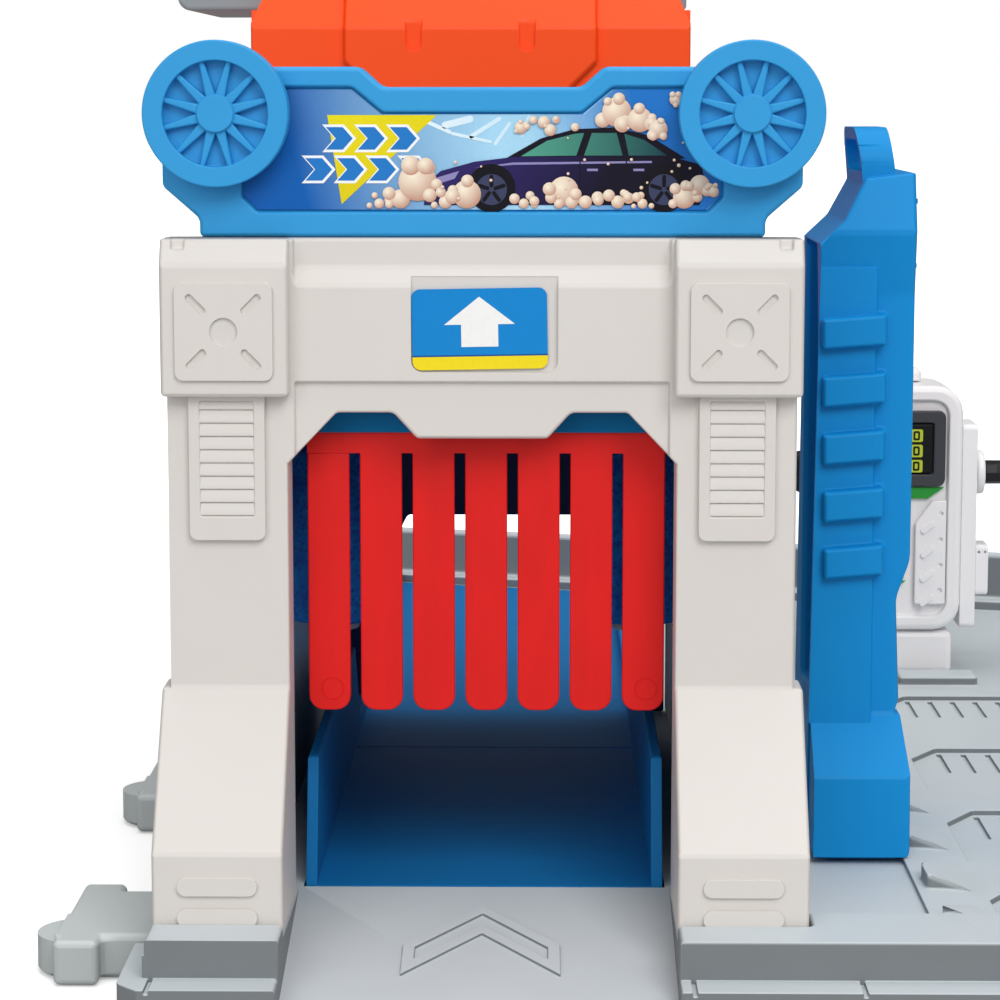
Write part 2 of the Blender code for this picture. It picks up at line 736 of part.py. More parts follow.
def chevron():
    """Raised arrow outline that lies on the ramp."""
    outer = [(0.0, CHEVRON_APEX), (CHEVRON_HALF_WIDTH, CHEVRON_APEX - CHEVRON_ARM_DROP),
             (CHEVRON_HALF_WIDTH, CHEVRON_APEX - CHEVRON_ARM_DROP - CHEVRON_BAND),
             (0.0, CHEVRON_APEX - CHEVRON_BAND)]
    ring = outer + [(-x, y) for x, y in reversed(outer[1:3])]
    inner = inset(ring, CHEVRON_LINE)
    span = (-DECK_HEIGHT, DECK_HEIGHT)
    arrow = cut(prism("arrow", ring, "Z", span),
                prism("arrow_hole", inner, "Z", (span[0] - OVERRUN, span[1] + OVERRUN)))
    for vertex in arrow.data.vertices:
        surface = ramp_height(vertex.co.y)
        lift = CHEVRON_PROUD if vertex.co.z > 0 else -CHEVRON_PROUD
        vertex.co.z = surface + lift
    return arrow


def pockets():
    """Cells between the ribs on the underside of the base."""
    cells = []
    left = BASE_LEFT + POCKET_LEFT_MARGIN
    right = BASE_RIGHT - POCKET_EDGE
    bands = [(POCKET_EDGE, left, right), (RIM_FRONT + POCKET_EDGE, FOOT_OUTER, right)]
    for number, (front, west, east) in enumerate(bands):
        columns = max(1, round((east - west) / POCKET_PITCH))
        width = (east - west) / columns
        for column in range(columns):
            x = west + column * width
            rear = rear_edge(x + width, POCKET_EDGE) if number == 0 else 0.0
            rows = max(1, round((rear - front) / POCKET_PITCH))
            depth = (rear - front) / rows
            for row in range(rows):
                y = front + row * depth
                cells.append(box("cell", (x + POCKET_RIB / 2, x + width - POCKET_RIB / 2),
                                 (y + POCKET_RIB / 2, y + depth - POCKET_RIB / 2),
                                 (-OVERRUN, POCKET_CEILING)))
    return group("cells", cells)


def island():
    """Raised pavement along the right of the base."""
    front = RIM_FRONT + CURB_WIDTH - POCKET_EDGE
    right = BASE_RIGHT - POCKET_EDGE
    return prism("island", [
        (ISLAND_LEFT, front), (right, front), (right, ISLAND_END), (ISLAND_LEFT + ISLAND_CORNER, ISLAND_END),
        (ISLAND_LEFT, ISLAND_END - ISLAND_CORNER)], "Z", (FLANGE_HEIGHT / 2, DECK_HEIGHT + ISLAND_RISE))


def bays():
    """Sunk parking bays with one cut corner, and the grooves in their floors."""
    top = DECK_HEIGHT + ISLAND_RISE
    right = BASE_RIGHT - POCKET_EDGE - BAY_CORNER_RUN
    sunk = []
    grooves = []
    for index in range(BAY_COUNT):
        back = BAY_BACK + index * BAY_PITCH
        near = max(back - BAY_DEPTH, RIM_FRONT + CURB_WIDTH + WEDGE_SKEW)
        sunk.append(prism("bay", [
            (BAY_LEFT, near), (right, near), (right, back), (BAY_LEFT + BAY_CORNER_RUN, back),
            (BAY_LEFT, back - BAY_CORNER_DEPTH)], "Z", (top - BAY_SINK, top + OVERRUN)))
        for line in range(HATCH_COUNT):
            x = BAY_LEFT + BAY_CORNER_RUN + line * HATCH_PITCH
            grooves.append(box("groove", (x, x + HATCH_WIDTH), (back - WEDGE_SKEW - HATCH_LENGTH, back - WEDGE_SKEW),
                               (top - BAY_SINK - GROOVE_DEPTH, top)))
    return group("bays", sunk), group("grooves", grooves)


def wedges():
    """Sloping stops beside the bays, high on the left and running out to the right."""
    low = DECK_HEIGHT - FLANGE_HEIGHT / 2
    top = DECK_HEIGHT + ISLAND_RISE
    left = WEDGE_LEFT
    right = WEDGE_LEFT + WEDGE_LENGTH
    stops = []
    for index in range(WEDGE_COUNT):
        y = WEDGE_FRONT + index * WEDGE_PITCH
        stop = prism("wedge", [(left, y + WEDGE_SKEW), (right, y), (right - WEDGE_FAR_INSET, y + WEDGE_FAR_DEPTH),
                               (left, y + WEDGE_NEAR_DEPTH)], "Z", (low, top))
        for vertex in stop.data.vertices:
            if vertex.co.z > low + POCKET_EDGE:
                share = (right - vertex.co.x) / WEDGE_LENGTH
                vertex.co.z = top - GROOVE_DEPTH / 2 + (WEDGE_RISE + GROOVE_DEPTH / 2) * share
        stops.append(stop)
    return group("wedges", stops)


def clip_outline(centre, grow=0.0):
    """Outline of a joining clip seen from above, grown for its pocket."""
    tip = BASE_LEFT + CLIP_TONGUE + grow
    bar_right = BASE_LEFT - CLIP_STANDOFF
    bar_left = bar_right - CLIP_BAR_WIDTH
    knob = bar_left + CLIP_BAR_WIDTH / 2
    half_bar = CLIP_BAR_LENGTH / 2
    half_neck = CLIP_NECK_LENGTH / 2 + grow
    points = [(tip, centre - half_neck), (tip, centre + half_neck), (bar_right, centre + half_neck),
              (bar_right, centre + half_bar), (bar_left, centre + half_bar)]
    start = math.asin(min(1.0, (CLIP_BAR_WIDTH / 2) / CLIP_KNOB_RADIUS))
    steps = 10
    for step in range(steps + 1):
        angle = math.pi / 2 + start + (math.pi - 2 * start) * step / steps
        points.append((knob + CLIP_KNOB_RADIUS * math.cos(angle),
                       centre + CLIP_KNOB_SHIFT + CLIP_KNOB_RADIUS * math.sin(angle)))
    points += [(bar_left, centre - half_bar), (bar_right, centre - half_bar), (bar_right, centre - half_neck)]
    return points


def build_base():
    """Ribbed base with its ramp, rims, tray bed, pavements and clip pockets."""
    base = prism("base", base_outline(), "Z", (0.0, DECK_HEIGHT))
    high = DECK_HEIGHT + OVERRUN
    flange_cuts = [
        box("flange_cut", (side * OPENING_HALF, side * (BASE_RIGHT + OVERRUN)),
            (FLANGE_FRONT - OVERRUN, RIM_FRONT), (FLANGE_HEIGHT, high)) for side in (-1, 1)]
    flange_cuts.append(box("side_cut", (BASE_LEFT - OVERRUN, -FOOT_OUTER - FIT_GAP),
                           (RIM_FRONT - OVERRUN / 2, rear_edge(BASE_LEFT) + OVERRUN), (FLANGE_HEIGHT, high)))
    cut(base, *flange_cuts)
    join(base, *base_rims())
    join(base, island())
    join(base, parapet())
    nose = FLANGE_FRONT - OVERRUN
    cut(base, prism("ramp", [(nose, ramp_height(nose)), (0.0, DECK_HEIGHT), (0.0, DECK_HEIGHT + RIM_RISE * 2),
                             (nose, DECK_HEIGHT + RIM_RISE * 2)], "X", (-OPENING_HALF, OPENING_HALF)))
    join(base, chevron())
    bed = LANE_HALF + FIT_GAP
    deep = PARAPET_THICKNESS + PARAPET_STEP_RUN + FIT_GAP
    cut(base, prism("tray_bed", [(-bed, -FIT_GAP), (bed, -FIT_GAP), (bed, rear_edge(bed, deep)),
                                 (-bed, rear_edge(-bed, deep))], "Z", (DECK_HEIGHT - TRAY_SINK, high)))
    cut(base, pockets())
    cut(base, *bays())
    join(base, wedges())
    bar_left = PUMP_LEFT + PUMP_WIDTH / 2
    bar_rear = PUMP_FRONT - KERB_BAR_STANDOFF
    join(base, box("kerb_bar", (bar_left, bar_left + KERB_BAR_LENGTH), (bar_rear - KERB_BAR_WIDTH, bar_rear),
                   (FLANGE_HEIGHT, DECK_HEIGHT + ISLAND_RISE + KERB_BAR_RISE)))
    for centre in (CLIP_CENTRE, CLIP_CENTRE + CLIP_SPACING):
        half = CLIP_NECK_LENGTH / 2 + FIT_GAP
        cut(base, box("clip_pocket", (BASE_LEFT - OVERRUN, BASE_LEFT + CLIP_TONGUE + FIT_GAP),
                      (centre - half, centre + half), (-OVERRUN, CLIP_HEIGHT + FIT_GAP)))
    joints = []
    for x in (BASE_LEFT + BASE_LEFT_MARGIN + FLANGE_CORNER / 4, OPENING_HALF + CORNER_BLOCK_OUTSET + LEG_FOOT_FLARE,
              FOOT_OUTER + FLANGE_CORNER + FLANGE_CORNER):
        joints.append(box("groove", (x - GROOVE_WIDTH / 2, x + GROOVE_WIDTH / 2),
                          (FLANGE_FRONT - OVERRUN, RIM_FRONT), (FLANGE_HEIGHT - GROOVE_DEPTH, high)))
    cut(base, group("flange_grooves", joints))
    finish(base, "base_plate", "base_grey")


def build_clips():
    """The two clips that tie the base to the next set."""
    for name, centre in (("connector_front", CLIP_CENTRE), ("connector_rear", CLIP_CENTRE + CLIP_SPACING)):
        clip = prism(name, clip_outline(centre), "Z", (0.0, CLIP_HEIGHT))
        bevel(clip, GROOVE_DEPTH, angle=60.0)
        finish(clip, name, "clip_grey")


def build_tray():
    """Open channel that the car drives along."""
    low = DECK_HEIGHT - TRAY_SINK + FIT_GAP
    floor = low + TRAY_FLOOR
    high = DECK_HEIGHT + TRAY_WALL_RISE
    fall = TUNNEL_LENGTH * TRAY_HIGH_END_SHARE
    far = LANE_LENGTH + OVERRUN
    profile = [(0.0, low), (far, low), (far, DECK_HEIGHT + TRAY_LOW_RISE),
               (fall + TRAY_FALL_RUN, DECK_HEIGHT + TRAY_LOW_RISE), (fall, high), (TRAY_NOSE_RUN, high),
               (0.0, floor + FIT_GAP)]
    tray = prism("tray", profile, "X", (-LANE_HALF, LANE_HALF))
    inner = LANE_HALF - TRAY_WALL
    cut(tray, box("channel", (-inner, inner), (-OVERRUN, far + OVERRUN), (floor, high + OVERRUN)))
    side = LANE_HALF + OVERRUN
    deep = PARAPET_THICKNESS + PARAPET_STEP_RUN + FIT_GAP * 2
    cut(tray, prism("rear_end", [(-side, rear_edge(-side, deep)), (side, rear_edge(side, deep)),
                                 (side, far + OVERRUN * 2), (-side, far + OVERRUN * 2)], "Z", (0.0, high)))
    finish(tray, "wash_tray", "tray_blue")


def gate_outline():
    """Front outline of the gate with its many-cornered opening."""
    spring = GATE_TOP - ARCH_SPRING_DROP
    crown = GATE_TOP - ARCH_CROWN_DROP
    tab = GATE_TOP - ARCH_LOW_CROWN_DROP
    tab_top = TAB_HALF_WIDTH + TAB_SLOPE
    right = [(LEG_OUTER, GATE_TOP), (LEG_OUTER, SEAT), (OPENING_HALF, SEAT), (OPENING_HALF, spring),
             (OPENING_HALF - ARCH_SLOPE, crown), (tab_top, crown), (TAB_HALF_WIDTH, tab)]
    return mirrored(right)


def foot_profile(wall=0.0):
    """Side outline of a gate foot, drawn in by a wall for its hollow."""
    front = GATE_FOOT_FRONT + wall
    plane = GATE_FRONT + wall
    low = SEAT + wall
    back = GATE_BACK if wall == 0.0 else GATE_BACK + OVERRUN
    top = DECK_HEIGHT + KNEE_RISE
    return [(back, low), (front, low), (front, DECK_HEIGHT + FOOT_RISE), (plane, top), (back, top)]


def plaque(side, centre_x):
    """Square plate with a round recess and four slanting slots."""
    z = GATE_TOP - PLAQUE_DROP
    face = GATE_FRONT - CORNER_BLOCK_PROUD
    half = PLAQUE_SIZE / 2
    plate = box("plaque", (centre_x - half, centre_x + half), (face - PLAQUE_PROUD, face + PLAQUE_PROUD),
                (z - half, z + half))
    cuts = [cylinder("hole", (centre_x, face - PLAQUE_PROUD, z), PLAQUE_HOLE_RADIUS, PLAQUE_HOLE_DEPTH, "Y", 16)]
    for sx in (-1, 1):
        for sz in (-1, 1):
            x = centre_x + sx * PLAQUE_SLOT_OFFSET / math.sqrt(2)
            height = z + sz * PLAQUE_SLOT_OFFSET / math.sqrt(2)
            slot = box("slot", (x - PLAQUE_SLOT_LENGTH / 2, x + PLAQUE_SLOT_LENGTH / 2),
                       (face - PLAQUE_PROUD - PLAQUE_HOLE_DEPTH / 2, face - PLAQUE_PROUD + PLAQUE_HOLE_DEPTH / 2),
                       (height - PLAQUE_SLOT_WIDTH / 2, height + PLAQUE_SLOT_WIDTH / 2))
            cuts.append(turn(slot, -sx * sz * math.pi / 4, "Y", (x, face, height)))
    return plate, group("plaque_cuts", cuts)


def vent_cutter(centre_x):
    """Saw-tooth pocket that leaves sloping louvres in the leg's plate."""
    top = GATE_TOP - VENT_TOP_DROP - VENT_BORDER
    bottom = GATE_TOP - VENT_TOP_DROP - VENT_HEIGHT + VENT_BORDER
    face = GATE_FRONT - VENT_PROUD
    pitch = (top - bottom) / VENT_LOUVRES
    profile = [(face - OVERRUN, bottom), (face - OVERRUN, top)]
    for index in range(VENT_LOUVRES):
        edge = top - index * pitch
        profile.append((face + VENT_DEPTH, edge))
        profile.append((face + VENT_DEPTH / 6, edge - pitch * 0.72))
        if index < VENT_LOUVRES - 1:
            profile.append((face + VENT_DEPTH / 6, edge - pitch))
    profile.append((face + VENT_DEPTH / 6, bottom))
    half = VENT_WIDTH / 2 - VENT_BORDER
    return prism("vent", profile, "X", (centre_x - half, centre_x + half))


def build_gate():
    """Arched gate shell with feet, corner blocks, plaques and louvred plates."""
    gate = prism("gate", gate_outline(), "Y", (GATE_FRONT, GATE_BACK))
    band_face = GATE_FRONT + TOP_BAND_DEPTH
    band_low = GATE_TOP - TOP_BAND_HEIGHT
    front = GATE_FRONT - OVERRUN
    for side in (-1, 1):
        span = (side * OPENING_HALF, side * FOOT_OUTER)
        join(gate, prism("foot", foot_profile(), "X", span))
        centre = side * (LEG_OUTER + CORNER_BLOCK_OUTSET - CORNER_BLOCK_WIDTH / 2)
        half = CORNER_BLOCK_WIDTH / 2
        face = GATE_FRONT - CORNER_BLOCK_PROUD
        block = prism("block", [
            (GATE_BACK - GATE_WALL, GATE_TOP - CORNER_BLOCK_HEIGHT), (face, GATE_TOP - CORNER_BLOCK_HEIGHT),
            (face, GATE_TOP - CORNER_BLOCK_CHAMFER * 2), (face + CORNER_BLOCK_CHAMFER, GATE_TOP),
            (GATE_BACK - GATE_WALL, GATE_TOP)], "X", (centre - half, centre + half))
        join(gate, block)
        notch = side * (LEG_OUTER - NOTCH_INSET - NOTCH_WIDTH / 2)
        cut(gate, box("notch", (notch - NOTCH_WIDTH / 2, notch + NOTCH_WIDTH / 2),
                      (face - OVERRUN, GATE_FRONT), (GATE_TOP - NOTCH_DEPTH, GATE_TOP + OVERRUN)))
        plate, plate_cuts = plaque(side, centre)
        join(gate, plate)
        cut(gate, plate_cuts)
        top = GATE_TOP - VENT_TOP_DROP
        join(gate, box("vent_plate", (centre - VENT_WIDTH / 2, centre + VENT_WIDTH / 2),
                       (GATE_FRONT - VENT_PROUD, GATE_FRONT + VENT_PROUD), (top - VENT_HEIGHT, top)))
        cut(gate, vent_cutter(centre))
        pills = []
        foot_centre = side * (OPENING_HALF + FOOT_OUTER) / 2
        for row in range(2):
            z = DECK_HEIGHT + FOOT_RISE - PILL_DROP - row * PILL_PITCH
            outline = rounded_rectangle((foot_centre, z), PILL_LENGTH, PILL_HEIGHT, PILL_HEIGHT / 2.2, 4)
            pills.append(prism("pill", outline, "Y", (GATE_FOOT_FRONT - OVERRUN, GATE_FOOT_FRONT + PILL_DEPTH)))
        cut(gate, group("pills", pills))
        hollow = [(GATE_BACK + OVERRUN, GATE_TOP - ARCH_SPRING_DROP), (GATE_FRONT + GATE_WALL, GATE_TOP - ARCH_SPRING_DROP)]
        cavity = foot_profile(GATE_WALL)
        outline = cavity[:4] + [hollow[1], hollow[0]]
        cut(gate, prism("hollow", outline, "X", (side * (OPENING_HALF + GATE_WALL), side * (LEG_OUTER - GATE_WALL))))
    inner = LEG_OUTER - CORNER_BLOCK_WIDTH
    cut(gate, prism("band", [(front, band_low - TOP_BAND_CHAMFER), (GATE_FRONT, band_low - TOP_BAND_CHAMFER),
                             (band_face, band_low), (band_face, GATE_TOP + OVERRUN), (front, GATE_TOP + OVERRUN)],
                    "X", (-inner, inner)))
    cut(gate, box("step", (-inner, inner), (front, GATE_FRONT + BEAM_STEP_DEPTH),
                  (GATE_TOP - ARCH_SPRING_DROP, GATE_TOP - BEAM_STEP_DROP)))
    label_z = GATE_TOP - LABEL_DROP
    cut(gate, box("label_recess", (-LABEL_RECESS_WIDTH / 2, LABEL_RECESS_WIDTH / 2),
                  (front, GATE_FRONT + LABEL_RECESS_DEPTH),
                  (label_z - LABEL_RECESS_HEIGHT / 2, label_z + LABEL_RECESS_HEIGHT / 2)))
    finish(gate, "front_gate", "gate_ivory")


def build_label():
    """Bay label in the recess of the gate's beam."""
    z = GATE_TOP - LABEL_DROP
    back = GATE_FRONT + LABEL_RECESS_DEPTH - FIT_GAP / 3
    outline = rounded_rectangle((0.0, z), LABEL_WIDTH, LABEL_HEIGHT, LABEL_CORNER)
    label = prism("label", outline, "Y", (back - LABEL_THICKNESS, back))
    turn(label, -LABEL_TILT, "Y", (0.0, back, z))
    finish(label, "gate_label", "label_print")


def sign_outline():
    """Front outline of the sign board."""
    top = SIGN_FOOT + SIGN_HEIGHT
    dip = top - SIGN_DIP_DROP
    right = [(SIGN_DIP_HALF_WIDTH, dip), (SIGN_DIP_HALF_WIDTH + SIGN_DIP_SLOPE, top),
             (SIGN_HALF_WIDTH - SIGN_TOP_INSET, top), (SIGN_HALF_WIDTH, SIGN_FOOT + SIGN_UPPER_RISE),
             (SIGN_HALF_WIDTH, SIGN_FOOT + SIGN_SHOULDER_RISE),
             (SIGN_FOOT_HALF_WIDTH, SIGN_FOOT + SIGN_FOOT_RISE), (SIGN_FOOT_HALF_WIDTH, SIGN_FOOT)]
    return mirrored(right)


def sign_field(gap=0.0):
    """Outline of the sunk field, or of its sheet when a gap is given."""
    low = SIGN_FOOT + SIGN_FIELD_RISE
    top = SIGN_FOOT + SIGN_HEIGHT - SIGN_FRAME
    dip = SIGN_FOOT + SIGN_HEIGHT - SIGN_DIP_DROP - SIGN_DIP_FRAME
    half = SIGN_FIELD_HALF_WIDTH
    outline = mirrored([(SIGN_DIP_HALF_WIDTH, dip), (SIGN_DIP_HALF_WIDTH + SIGN_DIP_SLOPE + SIGN_POCKET, top),
                        (half, top), (half, low + SIGN_FIELD_CORNER), (half - SIGN_FIELD_CORNER, low)])
    return inset(outline, gap) if gap else outline


def build_sign():
    """Sign board with a raised frame, its printed sheet and two wheel discs."""
    face = GATE_FRONT + SIGN_SETBACK
    board = prism("board", sign_outline(), "Y", (face, face + SIGN_THICKNESS))
    cut(board, prism("field", sign_field(), "Y", (face - OVERRUN, face + SIGN_POCKET)))
    finish(board, "sign_board", "sign_blue")
    back = face + SIGN_POCKET - FIT_GAP / 3
    sheet = prism("sheet", sign_field(FIT_GAP), "Y", (back - SIGN_SHEET, back))
    finish(sheet, "sign_sheet", "label_print")
    for name, side in (("sign_wheel_left", -1), ("sign_wheel_right", 1)):
        build_wheel(name, side * WHEEL_HALF_SPAN, face - FIT_GAP)


def build_wheel(name, x, back):
    """Spoked disc on the face of the sign."""
    z = SIGN_FOOT + WHEEL_RISE
    edge = WHEEL_FLOOR / 3
    spoke_face = WHEEL_THICKNESS - WHEEL_SPOKE_DROP
    profile = [(0.0, 0.0), (WHEEL_RADIUS, 0.0), (WHEEL_RADIUS, WHEEL_THICKNESS - edge),
               (WHEEL_RADIUS - edge, WHEEL_THICKNESS), (WHEEL_RING_INNER, WHEEL_THICKNESS),
               (WHEEL_RING_INNER, spoke_face), (WHEEL_HUB_RADIUS, spoke_face),
               (WHEEL_HUB_RADIUS, WHEEL_THICKNESS - edge), (WHEEL_HUB_RADIUS - edge, WHEEL_THICKNESS),
               (0.0, WHEEL_THICKNESS)]
    wheel = turned(name, profile, (x, back, z), "Y", 48)
    windows = []
    pitch = 2 * math.pi / WHEEL_SPOKES
    inner = WHEEL_HUB_RADIUS
    outer = WHEEL_RING_INNER
    for index in range(WHEEL_SPOKES):
        middle = pitch * (index + 0.5) + pitch / 2
        inner_half = pitch * (1 - WHEEL_SPOKE_HUB_SHARE) / 2
        outer_half = pitch / 2 - WHEEL_SPOKE_RIM_WIDTH / 2 / outer
        points = [(inner, middle - inner_half), (outer, middle - outer_half), (outer, middle),
                  (outer, middle + outer_half), (inner, middle + inner_half)]
        outline = [(x + r * math.cos(a), z + r * math.sin(a)) for r, a in points]
        windows.append(prism("window", outline, "Y",
                             (back - WHEEL_THICKNESS - OVERRUN, back - WHEEL_FLOOR)))
    cut(wheel, group("windows", windows))
    finish(wheel, name, "sign_blue")


def build_curtain():
    """Beam, header and hanging strips of the soft curtain."""
    top = ROOF_UNDER - FIT_GAP
    low = top - BEAM_HEIGHT
    front = TUNNEL_FRONT
    half = WALL_INNER - FIT_GAP
    beam = prism("beam", [(front, low), (front + BEAM_DEPTH, low + BEAM_LIP * 2), (front + BEAM_DEPTH, top),
                          (front, top)], "X", (-half, half))
    slot_half = CURTAIN_WIDTH / 2 + FIT_GAP
    groove = (CURTAIN_PLANE - CURTAIN_THICKNESS / 2 - FIT_GAP, CURTAIN_PLANE + CURTAIN_THICKNESS / 2 + FIT_GAP)
    header_top = HEADER_BOTTOM + HEADER_HEIGHT
    cut(beam, box("groove", (CURTAIN_SHIFT - slot_half, CURTAIN_SHIFT + slot_half), groove,
                  (low - OVERRUN, header_top + FIT_GAP)))
    finish(beam, "curtain_beam", "pylon_blue")
    span = (CURTAIN_PLANE - CURTAIN_THICKNESS / 2, CURTAIN_PLANE + CURTAIN_THICKNESS / 2)
    header = box("header", (CURTAIN_SHIFT - CURTAIN_WIDTH / 2, CURTAIN_SHIFT + CURTAIN_WIDTH / 2), span,
                 (HEADER_BOTTOM, header_top))
    finish(header, "curtain_header", "curtain_red")
    for index in range(CURTAIN_STRIPS):
        left = CURTAIN_SHIFT - CURTAIN_WIDTH / 2 + index * (STRIP_WIDTH + CURTAIN_GAP)
        build_strip("curtain_strip_%d" % (index + 1), left, span)


def build_strip(name, left, span):
    """One strip with its rounded lower corners, turning about its top edge."""
    bottom = STRIP_TOP - STRIP_LENGTH
    right = left + STRIP_WIDTH
    points = [(left, STRIP_TOP)]
    for centre, start in ((left + STRIP_CORNER, math.pi), (right - STRIP_CORNER, 1.5 * math.pi)):
        for step in range(STRIP_CORNER_STEPS + 1):
            angle = start + math.pi / 2 * step / STRIP_CORNER_STEPS
            points.append((centre + STRIP_CORNER * math.cos(angle),
                           bottom + STRIP_CORNER + STRIP_CORNER * math.sin(angle)))
    points.append((right, STRIP_TOP))
    strip = prism(name, points, "Y", span)
    finish(strip, name, "curtain_red", pivot=((left + right) / 2, CURTAIN_PLANE, STRIP_TOP - STRIP_AXIS_DROP))


def build_tunnel():
    """Side walls, roof and rear portal of the wash tunnel."""
    for name, side in (("tunnel_wall_left", -1), ("tunnel_wall_right", 1)):
        wall = box(name, (side * WALL_INNER, side * WALL_OUTER), (TUNNEL_FRONT, TUNNEL_LENGTH),
                   (SEAT, SEAT + TUNNEL_RISE))
        ribs = []
        count = max(1, int((TUNNEL_LENGTH - TUNNEL_FRONT) / WALL_RIB_PITCH))
        for index in range(count):
            y = TUNNEL_FRONT + WALL_RIB_PITCH * (index + 0.5)
            ribs.append(box("rib", (side * (WALL_OUTER - WALL_RIB_PROUD), side * (WALL_OUTER + WALL_RIB_PROUD)),
                            (y, y + WALL_RIB_WIDTH), (SEAT + WALL_RIB_WIDTH, SEAT + TUNNEL_RISE - WALL_RIB_WIDTH)))
        join(wall, group("ribs", ribs))
        finish(wall, name, "gate_ivory")
    roof = box("roof", (-ROOF_HALF, ROOF_HALF), (TUNNEL_FRONT, TUNNEL_LENGTH), (ROOF_UNDER, ROOF_TOP))
    cuts = [cylinder("bearing", (side * ROLLER_OFFSET, ROLLER_DISTANCE, ROOF_UNDER), SPINDLE_RADIUS + FIT_GAP,
                     ROOF_THICKNESS * 4, "Z", 24) for side in (-1, 1)]
    cut(roof, group("bearings", cuts))
    panel_half = ROOF_HALF - ROOF_PANEL_MARGIN
    panel_front = ROLLER_DISTANCE + SPINDLE_HEAD_RADIUS + ROOF_PANEL_MARGIN
    cut(roof, box("panel", (-panel_half, panel_half), (panel_front, HOUSING_FRONT - ROOF_PANEL_MARGIN),
                  (ROOF_TOP - ROOF_PANEL_DEPTH, ROOF_TOP + OVERRUN)))
    finish(roof, "tunnel_roof", "pylon_blue")
    half = WALL_INNER - FIT_GAP
    top = ROOF_UNDER - FIT_GAP
    notch = LANE_HALF + FIT_GAP
    tray_top = DECK_HEIGHT + TRAY_LOW_RISE + FIT_GAP
    right = [(half, top), (half, SEAT), (notch, SEAT), (notch, tray_top), (PORTAL_HALF_WIDTH, tray_top),
             (PORTAL_HALF_WIDTH, DECK_HEIGHT + PORTAL_SHOULDER_RISE),
             (PORTAL_CROWN_HALF_WIDTH, DECK_HEIGHT + PORTAL_CROWN_RISE)]
    portal = prism("portal", mirrored(right), "Y", (TUNNEL_LENGTH - PORTAL_THICKNESS, TUNNEL_LENGTH))
    finish(portal, "rear_portal", "deep_blue")


def build_rollers():
    """Foam sleeves on spindles that turn in the roof."""
    sleeve_top = ROOF_UNDER - ROLLER_TOP_DROP
    sleeve_low = sleeve_top - ROLLER_LENGTH
    bore = SPINDLE_RADIUS + FIT_GAP
    for side_name, side in (("left", -1), ("right", 1)):
        centre = (side * ROLLER_OFFSET, ROLLER_DISTANCE, 0.0)
        edge = ROLLER_EDGE
        profile = [(bore, sleeve_low), (ROLLER_RADIUS - edge, sleeve_low), (ROLLER_RADIUS, sleeve_low + edge),
                   (ROLLER_RADIUS, sleeve_top - edge), (ROLLER_RADIUS - edge, sleeve_top), (bore, sleeve_top),
                   (bore, sleeve_low)]
        sleeve = turned("sleeve", profile, centre, "Z", 32)
        finish(sleeve, "roller_sleeve_" + side_name, "foam_blue", pivot=centre)
        collar_low = sleeve_low - FIT_GAP - SPINDLE_COLLAR_HEIGHT
        head_low = ROOF_TOP + FIT_GAP
        profile = [(0.0, collar_low), (SPINDLE_COLLAR_RADIUS, collar_low),
                   (SPINDLE_COLLAR_RADIUS, sleeve_low - FIT_GAP), (SPINDLE_RADIUS, sleeve_low - FIT_GAP),
                   (SPINDLE_RADIUS, sleeve_top + FIT_GAP), (SPINDLE_COLLAR_RADIUS, sleeve_top + FIT_GAP),
                   (SPINDLE_COLLAR_RADIUS, sleeve_top + FIT_GAP + SPINDLE_COLLAR_HEIGHT),
                   (SPINDLE_RADIUS, sleeve_top + FIT_GAP + SPINDLE_COLLAR_HEIGHT), (SPINDLE_RADIUS, head_low),
                   (SPINDLE_HEAD_RADIUS, head_low), (SPINDLE_HEAD_RADIUS, head_low + SPINDLE_HEAD_HEIGHT),
                   (0.0, head_low + SPINDLE_HEAD_HEIGHT)]
        spindle = turned("spindle", profile, centre, "Z", 20)
        finish(spindle, "roller_spindle_" + side_name, "clip_grey", pivot=centre)


def pylon_outline():
    """Front outline of the pylon's upright."""
    top = DECK_HEIGHT + PYLON_RISE
    sole = DECK_HEIGHT + PYLON_SOLE_GAP
    return [
        (PYLON_LEFT, sole), (PYLON_RIGHT - PYLON_FOOT_INSET, sole),
        (PYLON_RIGHT - PYLON_FOOT_INSET, DECK_HEIGHT + PYLON_FOOT_RISE),
        (PYLON_RIGHT - PYLON_WAIST, DECK_HEIGHT + PYLON_WAIST_LOW),
        (PYLON_RIGHT - PYLON_WAIST, DECK_HEIGHT + PYLON_WAIST_HIGH),
        (PYLON_RIGHT, DECK_HEIGHT + PYLON_WAIST_END), (PYLON_RIGHT, top),
        (PYLON_LEFT + PYLON_PEAK_INSET, top - PYLON_PEAK_DROP),
        (PYLON_LEFT + PYLON_NECK_INSET, top - PYLON_NECK_DROP),
        (PYLON_LEFT + PYLON_FOOT_INSET, top - PYLON_CHEEK_DROP), (PYLON_LEFT, top - PYLON_SHOULDER_DROP)]


def pylon_loop():
    """Outlines of the loop on the pylon's top, outer and inner, seen from the side."""
    top = DECK_HEIGHT + PYLON_RISE
    front = PYLON_FRONT + PYLON_LEAN + PYLON_LOOP_INSET
    back = PYLON_BACK - PYLON_LOOP_INSET
    crest = top + PYLON_LOOP_RISE
    corner = PYLON_LOOP_CORNER
    root = top - PYLON_CAP / 2
    outer = [(front, root), (front, crest - corner), (front + corner, crest), (back - corner, crest),
             (back, crest - corner), (back, root)]
    band = PYLON_LOOP_BAND
    ceiling = crest - band
    inner = [(front + band, top), (front + band, ceiling - corner / 2), (front + band + corner / 2, ceiling),
             (back - band - corner / 2, ceiling), (back - band, ceiling - corner / 2), (back - band, top)]
    return outer, inner


